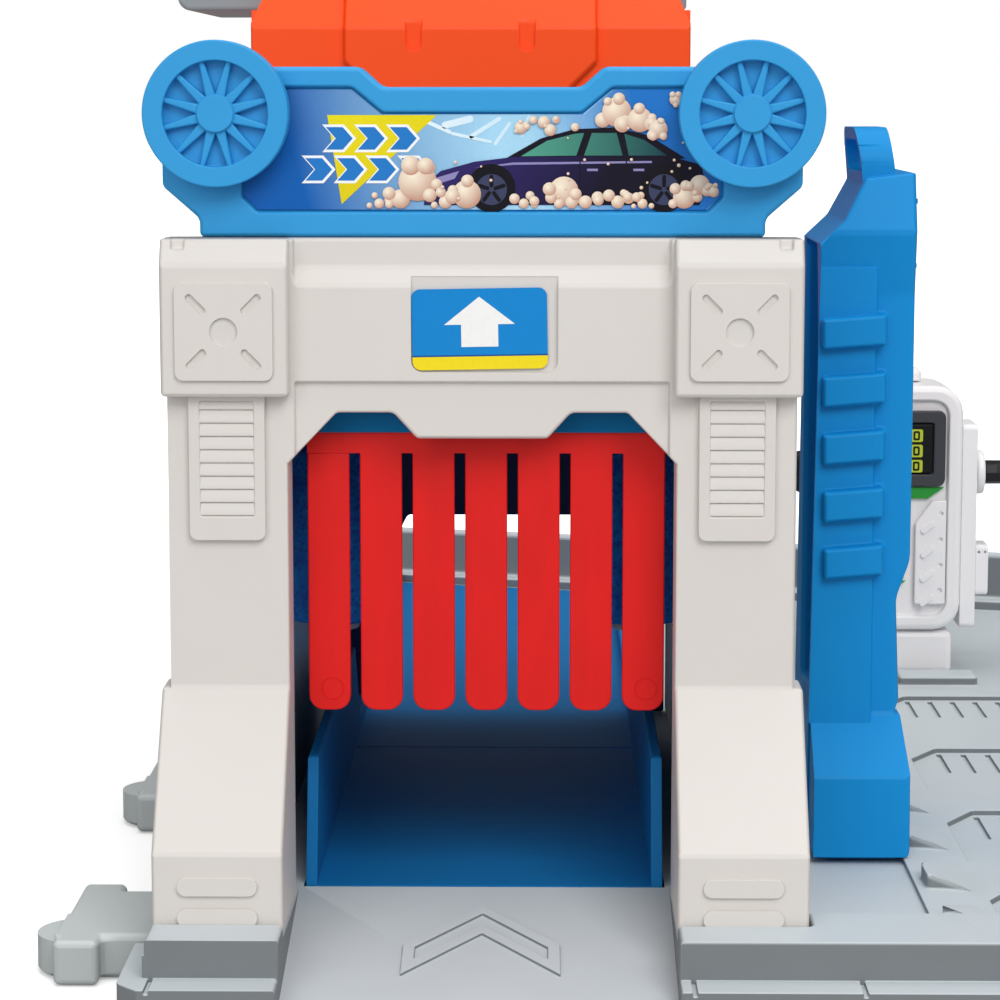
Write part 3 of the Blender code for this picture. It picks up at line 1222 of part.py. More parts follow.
def build_pylon():
    """Deep U-shaped upright with sloping bars, a hollow side and a loop on top."""
    top = DECK_HEIGHT + PYLON_RISE
    pylon = prism("pylon", pylon_outline(), "Y", (PYLON_FRONT, PYLON_BACK))
    foot_front = PYLON_FRONT - PYLON_FOOT_REACH
    sole = DECK_HEIGHT + PYLON_SOLE_GAP
    join(pylon, prism("foot", [
        (PYLON_FRONT + PYLON_SLAB, sole), (foot_front, sole), (foot_front, DECK_HEIGHT + PYLON_FOOT_RISE),
        (PYLON_FRONT, DECK_HEIGHT + PYLON_SLOPE_RISE), (PYLON_FRONT + PYLON_SLAB, DECK_HEIGHT + PYLON_SLOPE_RISE)],
        "X", (PYLON_LEFT + PYLON_FOOT_INSET, PYLON_RIGHT - PYLON_FOOT_INSET)))
    join(pylon, box("sole", (PYLON_LEFT + PYLON_SOLE_INSET, PYLON_RIGHT - PYLON_SOLE_INSET - PYLON_FOOT_INSET),
                    (foot_front + PYLON_SOLE_INSET, PYLON_BACK - PYLON_SOLE_INSET),
                    (SEAT, sole + PYLON_SOLE_GAP)))
    cut(pylon, prism("lean", [(PYLON_FRONT - OVERRUN, top - PYLON_CREASE_DROP), (PYLON_FRONT, top - PYLON_CREASE_DROP),
                              (PYLON_FRONT + PYLON_LEAN, top + OVERRUN), (PYLON_FRONT - OVERRUN, top + OVERRUN)],
                     "X", (PYLON_LEFT - OVERRUN, PYLON_RIGHT + OVERRUN)))
    loop_centre = PYLON_RIGHT - PYLON_WEB - PYLON_BUMP * 2
    loop_half = PYLON_LOOP_WIDTH / 2
    outer, inner = pylon_loop()
    loop = prism("loop", outer, "X", (loop_centre - loop_half, loop_centre + loop_half))
    cut(loop, prism("loop_hole", inner, "X", (loop_centre - loop_half - OVERRUN, loop_centre + loop_half + OVERRUN)))
    join(pylon, loop)
    pad_top = top - PYLON_PAD_TOP_DROP
    join(pylon, box("pad", (PYLON_LEFT, PYLON_LEFT + PYLON_PAD_WIDTH),
                    (PYLON_FRONT - PYLON_PAD_PROUD, PYLON_FRONT + PYLON_SLAB / 2),
                    (DECK_HEIGHT + PYLON_SLOPE_RISE - PYLON_PAD_PROUD, pad_top)))
    bars = []
    for index in range(PYLON_BAR_COUNT):
        high = top - PYLON_BAR_TOP_DROP - index * PYLON_BAR_PITCH
        rise = PYLON_BAR_LENGTH * math.tan(PYLON_BAR_SLOPE)
        outline = [(PYLON_LEFT + PYLON_FOOT_INSET, high - PYLON_BAR_HEIGHT - rise / 2),
                   (PYLON_LEFT + PYLON_BAR_LENGTH, high - PYLON_BAR_HEIGHT + rise / 2),
                   (PYLON_LEFT + PYLON_BAR_LENGTH, high + rise / 2),
                   (PYLON_LEFT + PYLON_FOOT_INSET, high - rise / 2)]
        bars.append(prism("bar", outline, "Y", (PYLON_FRONT - PYLON_BAR_PROUD, PYLON_FRONT + PYLON_SLAB / 2)))
    join(pylon, group("bars", bars))
    bumps = [box("bump", (PYLON_RIGHT - PYLON_BUMP, PYLON_RIGHT + PYLON_BUMP / 2),
                 (PYLON_FRONT + PYLON_LEAN + PYLON_BUMP, PYLON_FRONT + PYLON_SLAB),
                 (top - drop - PYLON_BUMP, top - drop)) for drop in PYLON_BUMP_DROPS]
    join(pylon, group("bumps", bumps))
    cut(pylon, box("channel", (PYLON_LEFT - OVERRUN, PYLON_RIGHT - PYLON_WAIST - PYLON_WEB),
                   (PYLON_FRONT + PYLON_SLAB, PYLON_BACK - PYLON_SLAB),
                   (DECK_HEIGHT + PYLON_SLOPE_RISE + OVERRUN, top - PYLON_CAP)))
    finish(pylon, "pylon", "pylon_blue")


def hose_point(share):
    """Point along the hose from the side box, round behind the pump, to the nozzle."""
    y_mid = PUMP_FRONT + PUMP_DEPTH / 2
    z = PUMP_BODY_SEAT + HOSE_RISE
    lead = HOSE_RADIUS
    start = PUMP_RIGHT + FIT_GAP + SIDE_BOX_WIDTH + FIT_GAP + FITTING_LENGTH + FIT_GAP
    end_x = nozzle_x()
    end_y = y_mid + NOZZLE_DEPTH / 2 + FIT_GAP
    back = PUMP_FRONT + PUMP_DEPTH + HOSE_BACK_GAP
    route = [
        (start, y_mid, z), (start + lead, y_mid, z), (start + lead * 2, y_mid, z),
        (start + HOSE_SIDE_GAP, y_mid + HOSE_SIDE_GAP / 2, z - HOSE_SINK / 3),
        (start + HOSE_SIDE_GAP / 2, back - HOSE_SIDE_GAP / 4, z - HOSE_SINK),
        (PUMP_RIGHT - PUMP_WIDTH / 4, back, z - HOSE_SINK), (PUMP_LEFT + PUMP_WIDTH / 4, back, z - HOSE_SINK),
        (end_x + lead, back - lead, z - HOSE_SINK), (end_x, end_y + lead * 2, z - HOSE_SINK / 3),
        (end_x, end_y + lead, z), (end_x, end_y, z)]
    place = share * (len(route) - 1)
    index = min(int(place), len(route) - 2)
    t = place - index
    p0 = Vector(route[max(index - 1, 0)])
    p1 = Vector(route[index])
    p2 = Vector(route[index + 1])
    p3 = Vector(route[min(index + 2, len(route) - 1)])
    return ((2 * p1) + (p2 - p0) * t + (2 * p0 - 5 * p1 + 4 * p2 - p3) * t ** 2
            + (3 * p1 - p0 - 3 * p2 + p3) * t ** 3) / 2


def nozzle_x():
    """Middle of the nozzle that hangs on the pump's left side."""
    return PUMP_LEFT - FIT_GAP - NOZZLE_WIDTH / 2


def build_pump_cabinet():
    """The pump's foot, its round-cornered body with a sunk front, and the knob on top."""
    middle = PUMP_LEFT + PUMP_WIDTH / 2
    y_mid = PUMP_FRONT + PUMP_DEPTH / 2
    inset_by = PUMP_FOOT_INSET
    foot = box("foot", (PUMP_LEFT + inset_by, PUMP_RIGHT - inset_by),
               (PUMP_FRONT + inset_by, PUMP_FRONT + PUMP_DEPTH - inset_by),
               (PUMP_SEAT, PUMP_SEAT + PUMP_FOOT_HEIGHT))
    bevel(foot, PUMP_EDGE)
    finish(foot, "pump_foot", "pump_white")
    z_mid = PUMP_BODY_SEAT + PUMP_BODY_HEIGHT / 2
    outline = rounded_rectangle((middle, z_mid), PUMP_WIDTH, PUMP_BODY_HEIGHT, PUMP_CORNER, 5)
    body = prism("body", outline, "Y", (PUMP_FRONT, PUMP_FRONT + PUMP_DEPTH))
    bevel(body, PUMP_EDGE, angle=50.0)
    field = rounded_rectangle((middle, z_mid), PUMP_WIDTH - FIELD_BORDER * 2, PUMP_BODY_HEIGHT - FIELD_BORDER * 2,
                              PUMP_CORNER / 2, 3)
    cut(body, prism("field", field, "Y", (PUMP_FRONT - OVERRUN, PUMP_FRONT + FIELD_DEPTH)))
    finish(body, "pump_body", "pump_white")
    knob = turned("knob", [(0.0, 0.0), (KNOB_RADIUS, 0.0), (KNOB_RADIUS, KNOB_HEIGHT * 0.6),
                           (KNOB_RADIUS * 0.6, KNOB_HEIGHT), (0.0, KNOB_HEIGHT)],
                  (middle + KNOB_SHIFT, y_mid, PUMP_BODY_TOP + FIT_GAP), "Z", 20)
    finish(knob, "pump_knob", "pump_white")


def build_pump_face():
    """Bezel, screen, stripes and lower panel in the pump's sunk front."""
    middle = PUMP_LEFT + PUMP_WIDTH / 2
    half = PUMP_WIDTH / 2 - FIELD_BORDER - FIT_GAP * 2
    floor = PUMP_FRONT + FIELD_DEPTH - FIT_GAP
    top = PUMP_BODY_TOP - BEZEL_TOP_DROP
    low = top - BEZEL_HEIGHT
    front = floor - BEZEL_THICKNESS
    bezel = prism("bezel", rounded_rectangle((middle, (top + low) / 2), half * 2, BEZEL_HEIGHT, BEZEL_CORNER), "Y",
                  (front, floor))
    border = SCREEN_BORDER
    cut(bezel, box("screen_seat", (middle - half + border, middle + half - border),
                   (front - OVERRUN, front + SCREEN_THICKNESS + FIT_GAP), (low + border, top - border)))
    finish(bezel, "pump_bezel", "bezel_grey")
    inner = half - border - FIT_GAP
    screen = box("screen", (middle - inner, middle + inner), (front, front + SCREEN_THICKNESS),
                 (low + border + FIT_GAP, top - border - FIT_GAP))
    finish(screen, "pump_screen", "screen_black")
    stripe_top = low - FIT_GAP
    stripe = prism("stripe", [(middle - half, stripe_top - STRIPE_HEIGHT),
                              (middle + half - STRIPE_END_SLOPE, stripe_top - STRIPE_HEIGHT),
                              (middle + half, stripe_top), (middle - half, stripe_top)], "Y",
                   (floor - STRIPE_THICKNESS, floor))
    finish(stripe, "pump_stripe", "stripe_green")
    panel_top = stripe_top - STRIPE_HEIGHT - FIT_GAP
    panel_low = panel_top - PANEL_HEIGHT
    right = middle + half
    left = right - PANEL_WIDTH
    panel = prism("panel", [(left, panel_low), (right, panel_low), (right, panel_top),
                            (left + STRIPE_END_SLOPE, panel_top), (left, panel_top - PANEL_CORNER)],
                  "Y", (floor - PANEL_THICKNESS, floor))
    bevel(panel, PUMP_EDGE / 2, angle=60.0)
    finish(panel, "pump_panel", "pump_white")
    low_top = PUMP_BODY_SEAT + LOW_STRIPE_RISE
    low_stripe = prism("low_stripe", [(middle - half, low_top - STRIPE_HEIGHT),
                                      (left - FIT_GAP - STRIPE_END_SLOPE, low_top - STRIPE_HEIGHT),
                                      (left - FIT_GAP, low_top), (middle - half, low_top)], "Y",
                       (floor - STRIPE_THICKNESS, floor))
    finish(low_stripe, "pump_stripe_low", "stripe_green")


def build_pump_sides():
    """Side box, holster, nozzle and the hose that wraps round behind the pump."""
    y_mid = PUMP_FRONT + PUMP_DEPTH / 2
    side_left = PUMP_RIGHT + FIT_GAP
    side_right = side_left + SIDE_BOX_WIDTH
    side_top = PUMP_BODY_SEAT + SIDE_BOX_HEIGHT
    side = prism("side", rounded_rectangle((y_mid, (PUMP_BODY_SEAT + side_top) / 2), SIDE_BOX_DEPTH,
                                           SIDE_BOX_HEIGHT, SIDE_BOX_CORNER), "X", (side_left, side_right))
    finish(side, "pump_side_box", "pump_white")
    holster_low = PUMP_BODY_SEAT + HOLSTER_RISE
    holster_left = side_right + FIT_GAP
    holster = prism("holster", rounded_rectangle((y_mid, holster_low + HOLSTER_HEIGHT / 2), HOLSTER_DEPTH,
                                                 HOLSTER_HEIGHT, SIDE_BOX_CORNER), "X",
                    (holster_left, holster_left + HOLSTER_WIDTH))
    finish(holster, "pump_holster", "pump_white")
    hose_z = PUMP_BODY_SEAT + HOSE_RISE
    fitting = cylinder("fitting", (holster_left + FITTING_LENGTH / 2, y_mid, hose_z), FITTING_RADIUS,
                       FITTING_LENGTH, "X", 20)
    finish(fitting, "pump_hose_fitting", "pump_white")
    x = nozzle_x()
    nozzle = box("nozzle", (x - NOZZLE_WIDTH / 2, x + NOZZLE_WIDTH / 2),
                 (y_mid - NOZZLE_DEPTH / 2, y_mid + NOZZLE_DEPTH / 2),
                 (hose_z - NOZZLE_HEIGHT / 2, hose_z + NOZZLE_HEIGHT / 2))
    bevel(nozzle, NOZZLE_CORNER, 2)
    finish(nozzle, "pump_nozzle", "hose_black")
    curve = bpy.data.curves.new("hose", "CURVE")
    curve.dimensions = "3D"
    curve.bevel_depth = HOSE_RADIUS
    curve.bevel_resolution = 2
    curve.use_fill_caps = True
    spline = curve.splines.new("POLY")
    spline.points.add(HOSE_STEPS)
    for step in range(HOSE_STEPS + 1):
        spline.points[step].co = (*hose_point(step / HOSE_STEPS), 1.0)
    finish(from_bmesh("hose", curve_to_mesh("hose", curve)), "pump_hose", "hose_black")


def build_housing():
    """Orange storey on the tunnel's roof, open at the back, with a leaning fascia."""
    low = HOUSING_SEAT
    seat = ROOF_TOP + HOUSING_RISE
    crease = ROOF_TOP + FASCIA_CREASE_RISE
    crest = ROOF_TOP + FASCIA_TOP_RISE
    front = HOUSING_FRONT
    lean = FASCIA_LEAN
    fascia = prism("fascia", [(front, low), (front, crease), (front + lean, crest),
                              (front + lean + HOUSING_WALL, crest), (front + HOUSING_WALL, crease),
                              (front + HOUSING_WALL, low)], "X", (HOUSING_LEFT, HOUSING_RIGHT))
    corner_low = ROOF_TOP + FASCIA_CORNER_RISE
    run = FASCIA_CORNER_RUN
    corners = []
    for edge, side in ((HOUSING_LEFT, 1), (HOUSING_RIGHT, -1)):
        corners.append(prism("corner", [
            (edge - side * OVERRUN, corner_low), (edge, corner_low), (edge + side * run, crest),
            (edge + side * run, crest + OVERRUN), (edge - side * OVERRUN, crest + OVERRUN)], "Y",
            (front - OVERRUN, front + lean + HOUSING_WALL + OVERRUN)))
    cut(fascia, group("corners", corners))
    for edge, side in ((HOUSING_LEFT, 1), (HOUSING_RIGHT, -1)):
        join(fascia, box("side", (edge, edge + side * HOUSING_WALL), (front + HOUSING_WALL / 2, HOUSING_REAR),
                         (low, seat)))
    middle = (HOUSING_LEFT + HOUSING_RIGHT) / 2
    crest_low = ROOF_TOP + CREST_BOTTOM_RISE
    panel = prism("panel", [(front - CREST_PROUD, crest_low), (front - CREST_PROUD, crease),
                            (front - CREST_PROUD + lean, crest), (front + lean + HOUSING_WALL / 2, crest),
                            (front + HOUSING_WALL / 2, crease), (front + HOUSING_WALL / 2, crest_low)], "X",
                  (middle - CREST_HALF_WIDTH, middle + CREST_HALF_WIDTH))
    trims = []
    for side in (-1, 1):
        edge = middle + side * CREST_HALF_WIDTH
        trims.append(prism("trim", [
            (edge + side * OVERRUN, crest_low - OVERRUN), (edge + side * OVERRUN, crest_low + CREST_CORNER),
            (edge, crest_low + CREST_CORNER), (edge - side * CREST_CORNER, crest_low),
            (edge - side * CREST_CORNER, crest_low - OVERRUN)], "Y",
            (front - CREST_PROUD - OVERRUN, front + HOUSING_WALL)))
    cut(panel, group("trims", trims))
    join(fascia, panel)
    slots = []
    for side in (-1, 1):
        outline = rounded_rectangle((middle + side * CREST_SLOT_SPAN / 2, ROOF_TOP + CREST_SLOT_RISE),
                                    CREST_SLOT_WIDTH, CREST_SLOT_HEIGHT, CREST_SLOT_WIDTH / 2.1, 4)
        slots.append(prism("slot", outline, "Y", (front - CREST_PROUD - OVERRUN, front - CREST_PROUD + CREST_SLOT_DEPTH)))
    cut(fascia, group("slots", slots))
    finish(fascia, "upper_housing", "housing_orange")


def build_roof_deck():
    """Grey parking deck on the housing, with a rim along its sides and back."""
    low = ROOF_TOP + HOUSING_RISE + FIT_GAP
    top = low + ROOFDECK_THICKNESS
    left = HOUSING_LEFT - ROOFDECK_LEFT_REACH
    right = HOUSING_RIGHT
    front = HOUSING_FRONT + FASCIA_LEAN + HOUSING_WALL + ROOFDECK_FRONT_GAP
    rear = HOUSING_REAR
    chamfer = ROOFDECK_CHAMFER
    deck = prism("deck", [(left, top), (left, low + chamfer), (left + chamfer, low), (right, low), (right, top)],
                 "Y", (front, rear))
    rim = ROOFDECK_RIM_WIDTH
    rim_top = top + ROOFDECK_RIM_HEIGHT
    border = prism("border", [(left, front), (left, rear), (right, rear), (right, front), (right - rim, front),
                              (right - rim, rear - rim), (left + rim, rear - rim), (left + rim, front)],
                   "Z", (top - ROOFDECK_THICKNESS / 2, rim_top))
    join(deck, border)
    lines = []
    pitch = (right - left) / (ROOFDECK_LINE_COUNT + 1)
    for index in range(ROOFDECK_LINE_COUNT):
        x = left + pitch * (index + 1)
        lines.append(box("line", (x - ROOFDECK_LINE_WIDTH / 2, x + ROOFDECK_LINE_WIDTH / 2),
                         (front + rim * 3, rear - rim * 2), (top - ROOFDECK_LINE_DEPTH, top + OVERRUN)))
    cut(deck, group("lines", lines))
    finish(deck, "roof_deck", "base_grey")


def remove_helpers():
    """Leave only finished pieces in the file."""
    for helper in list(CUTTERS.objects):
        bpy.data.objects.remove(helper, do_unlink=True)


build_base()
build_clips()
build_tray()
build_gate()
build_label()
build_sign()
build_curtain()
build_tunnel()
build_rollers()
build_pylon()
build_pump_cabinet()
build_pump_face()
build_pump_sides()
build_housing()
build_roof_deck()
remove_helpers()
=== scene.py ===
"""Looks of the toy parking garage: soft-edged mouldings, prints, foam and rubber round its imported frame.

Sizes in the classes are millimetres. The bench turns them into the frame's metres.
"""
import json
import logging
import math
import random
from contextlib import contextmanager
from dataclasses import dataclass, field
from enum import Enum
from typing import Iterable, Iterator, Sequence

import bmesh
import bpy
from mathutils import Matrix, Vector
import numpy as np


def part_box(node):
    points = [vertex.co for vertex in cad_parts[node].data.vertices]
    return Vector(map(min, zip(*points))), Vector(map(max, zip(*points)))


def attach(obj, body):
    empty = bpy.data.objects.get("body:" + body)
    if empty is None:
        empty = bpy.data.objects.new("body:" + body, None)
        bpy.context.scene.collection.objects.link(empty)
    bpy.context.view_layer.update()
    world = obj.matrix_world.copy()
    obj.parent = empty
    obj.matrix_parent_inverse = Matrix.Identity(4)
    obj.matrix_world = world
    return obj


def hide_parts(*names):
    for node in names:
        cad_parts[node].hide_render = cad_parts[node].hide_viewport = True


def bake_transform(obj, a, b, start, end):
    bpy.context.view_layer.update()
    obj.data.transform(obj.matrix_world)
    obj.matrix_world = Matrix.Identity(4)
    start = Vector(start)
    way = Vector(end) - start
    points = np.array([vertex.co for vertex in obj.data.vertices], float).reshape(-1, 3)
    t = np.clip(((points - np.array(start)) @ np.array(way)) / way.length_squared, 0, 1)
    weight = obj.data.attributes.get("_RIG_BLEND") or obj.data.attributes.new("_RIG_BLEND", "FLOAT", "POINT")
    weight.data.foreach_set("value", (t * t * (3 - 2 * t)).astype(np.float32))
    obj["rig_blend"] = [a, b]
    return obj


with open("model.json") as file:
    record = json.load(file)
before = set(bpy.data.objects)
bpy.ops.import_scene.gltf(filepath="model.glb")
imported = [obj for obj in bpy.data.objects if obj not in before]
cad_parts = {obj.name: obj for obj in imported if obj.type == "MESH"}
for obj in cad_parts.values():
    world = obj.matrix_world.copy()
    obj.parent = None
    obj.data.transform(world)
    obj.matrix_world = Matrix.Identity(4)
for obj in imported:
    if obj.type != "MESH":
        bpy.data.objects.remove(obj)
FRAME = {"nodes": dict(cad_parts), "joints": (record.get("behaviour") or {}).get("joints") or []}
LOG = logging.getLogger("garage")
MM = 0.001
OVERRUN = 2.0  # how far a cutting tool passes what it cuts
BODY = "playset"
Point = tuple[float, float, float]
Flat = tuple[float, float]
Piece = bpy.types.Object
Mesh = bmesh.types.BMesh
Edge = bmesh.types.BMEdge
Face = bmesh.types.BMFace
Tree = bpy.types.NodeTree
Node = bpy.types.Node
Socket = bpy.types.NodeSocket


class Axis(Enum):
    """Direction that a flat outline is pushed along."""

    X = "x"
    Y = "y"
    Z = "z"


def linear(shade: str) -> tuple[float, float, float, float]:
    """Turn an sRGB hex colour into linear RGBA.

    Args:
        shade: Six hex digits after a hash sign.

    Returns:
        The linear colour with full alpha.
    """
    parts = [int(shade[i:i + 2], 16) / 255 for i in (1, 3, 5)]
    red, green, blue = (p / 12.92 if p <= 0.04045 else ((p + 0.055) / 1.055) ** 2.4 for p in parts)
    return (red, green, blue, 1.0)


def darker(shade: str, share: float) -> str:
    """Return the hex colour scaled by a share, clipped at white."""
    parts = [min(255, round(int(shade[i:i + 2], 16) * share)) for i in (1, 3, 5)]
    return "#%02X%02X%02X" % tuple(parts)


def add_node(tree: Tree, kind: str, settings: dict | None = None,
             links: dict | None = None) -> Node:
    """Add one shader node with its settings and its incoming links.

    Args:
        tree: Tree that gets the node.
        kind: Blender's name of the node type.
        settings: Values by input name or index, or by attribute name.
        links: Output sockets by input name or index.

    Returns:
        The new node.
    """
    node = tree.nodes.new(kind)
    for key, value in (settings or {}).items():
        if isinstance(key, int) or key in node.inputs:
            node.inputs[key].default_value = value
        else:
            setattr(node, key, value)
    for key, socket in (links or {}).items():
        tree.links.new(socket, node.inputs[key])
    return node


def new_material(name: str) -> tuple[bpy.types.Material, Tree, Node]:
    """Make a node material and return it with its tree and its shader."""
    material = bpy.data.materials.new(name)
    material.use_nodes = True
    tree = material.node_tree
    return material, tree, tree.nodes["Principled BSDF"]


def on_object(tree: Tree) -> Socket:
    """Return the coordinates that stay with a piece."""
    return add_node(tree, "ShaderNodeTexCoord").outputs["Object"]


def noise(tree: Tree, place: Socket, size_mm: float, detail: float = 2.0, **settings: float) -> Socket:
    """Return noise whose features have a size in millimetres."""
    values = {"Scale": 1 / (size_mm * MM), "Detail": detail, **settings}
    return add_node(tree, "ShaderNodeTexNoise", values, {"Vector": place}).outputs["Fac"]


def ramp(tree: Tree, value: Socket, low: float, high: float, start: float = 0.0, end: float = 1.0) -> Socket:
    """Return low to high while a value goes from start to end."""
    values = {"From Min": start, "From Max": end, "To Min": low, "To Max": high}
    return add_node(tree, "ShaderNodeMapRange", values, {"Value": value}).outputs["Result"]


def blended(tree: Tree, share: Socket, first: str, second: str) -> Socket:
    """Return a colour between two hex colours."""
    values = {"data_type": "RGBA", 6: linear(first), 7: linear(second)}
    return add_node(tree, "ShaderNodeMix", values, {0: share}).outputs[2]


def scaled(tree: Tree, colour: Socket, share: Socket) -> Socket:
    """Return a colour times a share."""
    links = {0: colour, "Scale": share}
    return add_node(tree, "ShaderNodeVectorMath", {"operation": "SCALE"}, links).outputs["Vector"]


def times(tree: Tree, first: Socket, second: Socket, operation: str = "MULTIPLY") -> Socket:
    """Return the product of two values, or what another operation makes of them."""
    return add_node(tree, "ShaderNodeMath", {"operation": operation}, {0: first, 1: second}).outputs["Value"]


def emboss(tree: Tree, shader: Node, height: Socket, strength: float, depth_mm: float) -> None:
    """Press a height pattern into the surface."""
    values = {"Strength": strength, "Distance": depth_mm * MM}
    bump = add_node(tree, "ShaderNodeBump", values, {"Height": height})
    tree.links.new(bump.outputs["Normal"], shader.inputs["Normal"])


def seen_directly(tree: Tree) -> tuple[Node, Socket]:
    """Return the light path, and 1 for what the camera sees, also through clear pieces."""
    path = add_node(tree, "ShaderNodeLightPath")
    return path, times(tree, path.outputs["Is Camera Ray"], path.outputs["Is Transmission Ray"], "MAXIMUM")


class Finish:
    """A surface whose material is built on first use."""

    name: str

    def material(self) -> bpy.types.Material:
        """Return the material, built when it isn't there yet."""
        known = bpy.data.materials.get(self.name)
        if known is not None:
            return known
        material, tree, shader = new_material(self.name)
        self.paint(tree, shader)
        return material

    def paint(self, tree: Tree, shader: Node) -> None:
        """Wire the nodes of the finish."""
        raise NotImplementedError


@dataclass(frozen=True)
class MouldedPlastic(Finish):
    """Injection-moulded ABS or polypropylene with a fine spark-eroded grain."""

    name: str
    shade: str
    roughness: float = 0.36
    grain_mm: float = 0.28
    grain_depth_mm: float = 0.010
    cloud: float = 0.035
    glow: float = 0.0
    # Share of the colour kept on upright faces; their darker tone is painted shade
    wall: float = 1.0
    gloss: float = 0.36
    ior: float = 1.53
    flow_mm: float = 18.0

    def paint(self, tree: Tree, shader: Node) -> None:
        """Wire the flow clouds, the painted shade that darkens upright walls, and the grain."""
        place = add_node(tree, "ShaderNodeTexCoord")
        flow = noise(tree, place.outputs["Object"], self.flow_mm, 3.0, Roughness=0.6)
        colour = blended(tree, flow, darker(self.shade, 1 - self.cloud), darker(self.shade, 1 + self.cloud))
        # Painted shade: upright faces are darkened towards the wall share, while faces that point up keep the
        # full colour
        if self.wall != 1.0:
            facing = add_node(tree, "ShaderNodeSeparateXYZ", None, {0: place.outputs["Normal"]})
            colour = scaled(tree, colour, ramp(tree, facing.outputs["Z"], self.wall, 1.0, 0.10, 0.85))
        haze = ramp(tree, flow, self.roughness - 0.05, self.roughness + 0.06)
        tree.links.new(colour, shader.inputs["Base Color"])
        tree.links.new(haze, shader.inputs["Roughness"])
        emboss(tree, shader, noise(tree, place.outputs["Object"], self.grain_mm), 0.35, self.grain_depth_mm)
        shader.inputs["IOR"].default_value = self.ior
        shader.inputs["Specular IOR Level"].default_value = self.gloss
        if self.glow:
            shader.inputs["Subsurface Weight"].default_value = self.glow
            shader.inputs["Subsurface Radius"].default_value = (1.6, 0.9, 0.6)
            shader.inputs["Subsurface Scale"].default_value = 0.6 * MM


@dataclass(frozen=True)
class SoftRubber(Finish):
    """Satin soft PVC: waxy, with faint flow marks along its length."""

    name: str
    shade: str
    roughness: float = 0.50
    ior: float = 1.50
    mark_mm: tuple[float, float, float] = (3, 3, 14)
    skin_mm: float = 0.22

    def paint(self, tree: Tree, shader: Node) -> None:
        """Wire the flow marks and the skin."""
        place = on_object(tree)
        stretch = {"Scale": tuple(1 / (size * MM) for size in self.mark_mm)}
        along = add_node(tree, "ShaderNodeMapping", stretch, {"Vector": place}).outputs["Vector"]
        marks = noise(tree, along, 1 / MM, 3.0)
        colour = blended(tree, marks, darker(self.shade, 0.93), darker(self.shade, 1.05))
        tree.links.new(colour, shader.inputs["Base Color"])
        emboss(tree, shader, noise(tree, place, self.skin_mm), 0.3, 0.010)
        shader.inputs["Roughness"].default_value = self.roughness
        shader.inputs["IOR"].default_value = self.ior
        shader.inputs["Specular IOR Level"].default_value = 0.30
        shader.inputs["Subsurface Weight"].default_value = 0.06
        shader.inputs["Subsurface Radius"].default_value = (1.2, 0.2, 0.15)
        shader.inputs["Subsurface Scale"].default_value = 0.4 * MM


@dataclass(frozen=True)
class CutFoam(Finish):
    """Open-cell polyurethane foam: matt, pitted and speckled with dark cells."""

    name: str
    shade: str
    cell_mm: float = 0.7
    cloud_mm: float = 2.2

    def paint(self, tree: Tree, shader: Node) -> None:
        """Wire the cells and the clouds between them."""
        place = on_object(tree)
        values = {"Scale": 1 / (self.cell_mm * MM), "Randomness": 1.0}
        cells = add_node(tree, "ShaderNodeTexVoronoi", values, {"Vector": place}).outputs["Distance"]
        pits = times(tree, ramp(tree, cells, 0.0, 1.0, 0.05, 0.55), noise(tree, place, self.cloud_mm, 4.0))
        colour = blended(tree, pits, darker(self.shade, 0.80), darker(self.shade, 1.9))
        tree.links.new(colour, shader.inputs["Base Color"])
        emboss(tree, shader, cells, 0.8, 0.25)
        shader.inputs["Roughness"].default_value = 0.95
        shader.inputs["Sheen Weight"].default_value = 0.10
        shader.inputs["Sheen Roughness"].default_value = 0.6


@dataclass(frozen=True)
class PrintedFilm(Finish):
    """Ink on self-adhesive polypropylene film, plain or fading from start to end in millimetres."""

    name: str
    shade: str
    second: str = ""
    start: Point = (0.0, 0.0, 0.0)
    end: Point = (1.0, 0.0, 0.0)
    dot_mm: float = 0.5

    def paint(self, tree: Tree, shader: Node) -> None:
        """Wire the fade and the print's fine dots."""
        place = on_object(tree)
        run = Vector(self.end) - Vector(self.start)
        values = {"operation": "DOT_PRODUCT", 1: tuple(run / run.length_squared / MM)}
        along = add_node(tree, "ShaderNodeVectorMath", values, {0: place}).outputs["Value"]
        offset = Vector(self.start).dot(run) / run.length_squared
        colour = blended(tree, ramp(tree, along, 0.0, 1.0, offset, offset + 1.0), self.shade,
                         self.second or self.shade)
        speck = ramp(tree, noise(tree, place, self.dot_mm, 1.0), 0.96, 1.04)
        tree.links.new(scaled(tree, colour, speck), shader.inputs["Base Color"])
        shader.inputs["Roughness"].default_value = 0.40
        shader.inputs["Specular IOR Level"].default_value = 0.20
        shader.inputs["Coat Weight"].default_value = 0.04
        shader.inputs["Coat Roughness"].default_value = 0.15


@dataclass(frozen=True)
class BubbleInk(Finish):
    """Printed foam bubble: pale in the middle, shaded to its rim through the piece's own tone values."""

    name: str
    light: str
    dark: str

    def paint(self, tree: Tree, shader: Node) -> None:
        """Wire the mesh attribute called tone."""
        tone = add_node(tree, "ShaderNodeAttribute", {"attribute_name": "tone"}).outputs["Fac"]
        tree.links.new(blended(tree, tone, self.dark, self.light), shader.inputs["Base Color"])
        shader.inputs["Roughness"].default_value = 0.40
        shader.inputs["Specular IOR Level"].default_value = 0.30
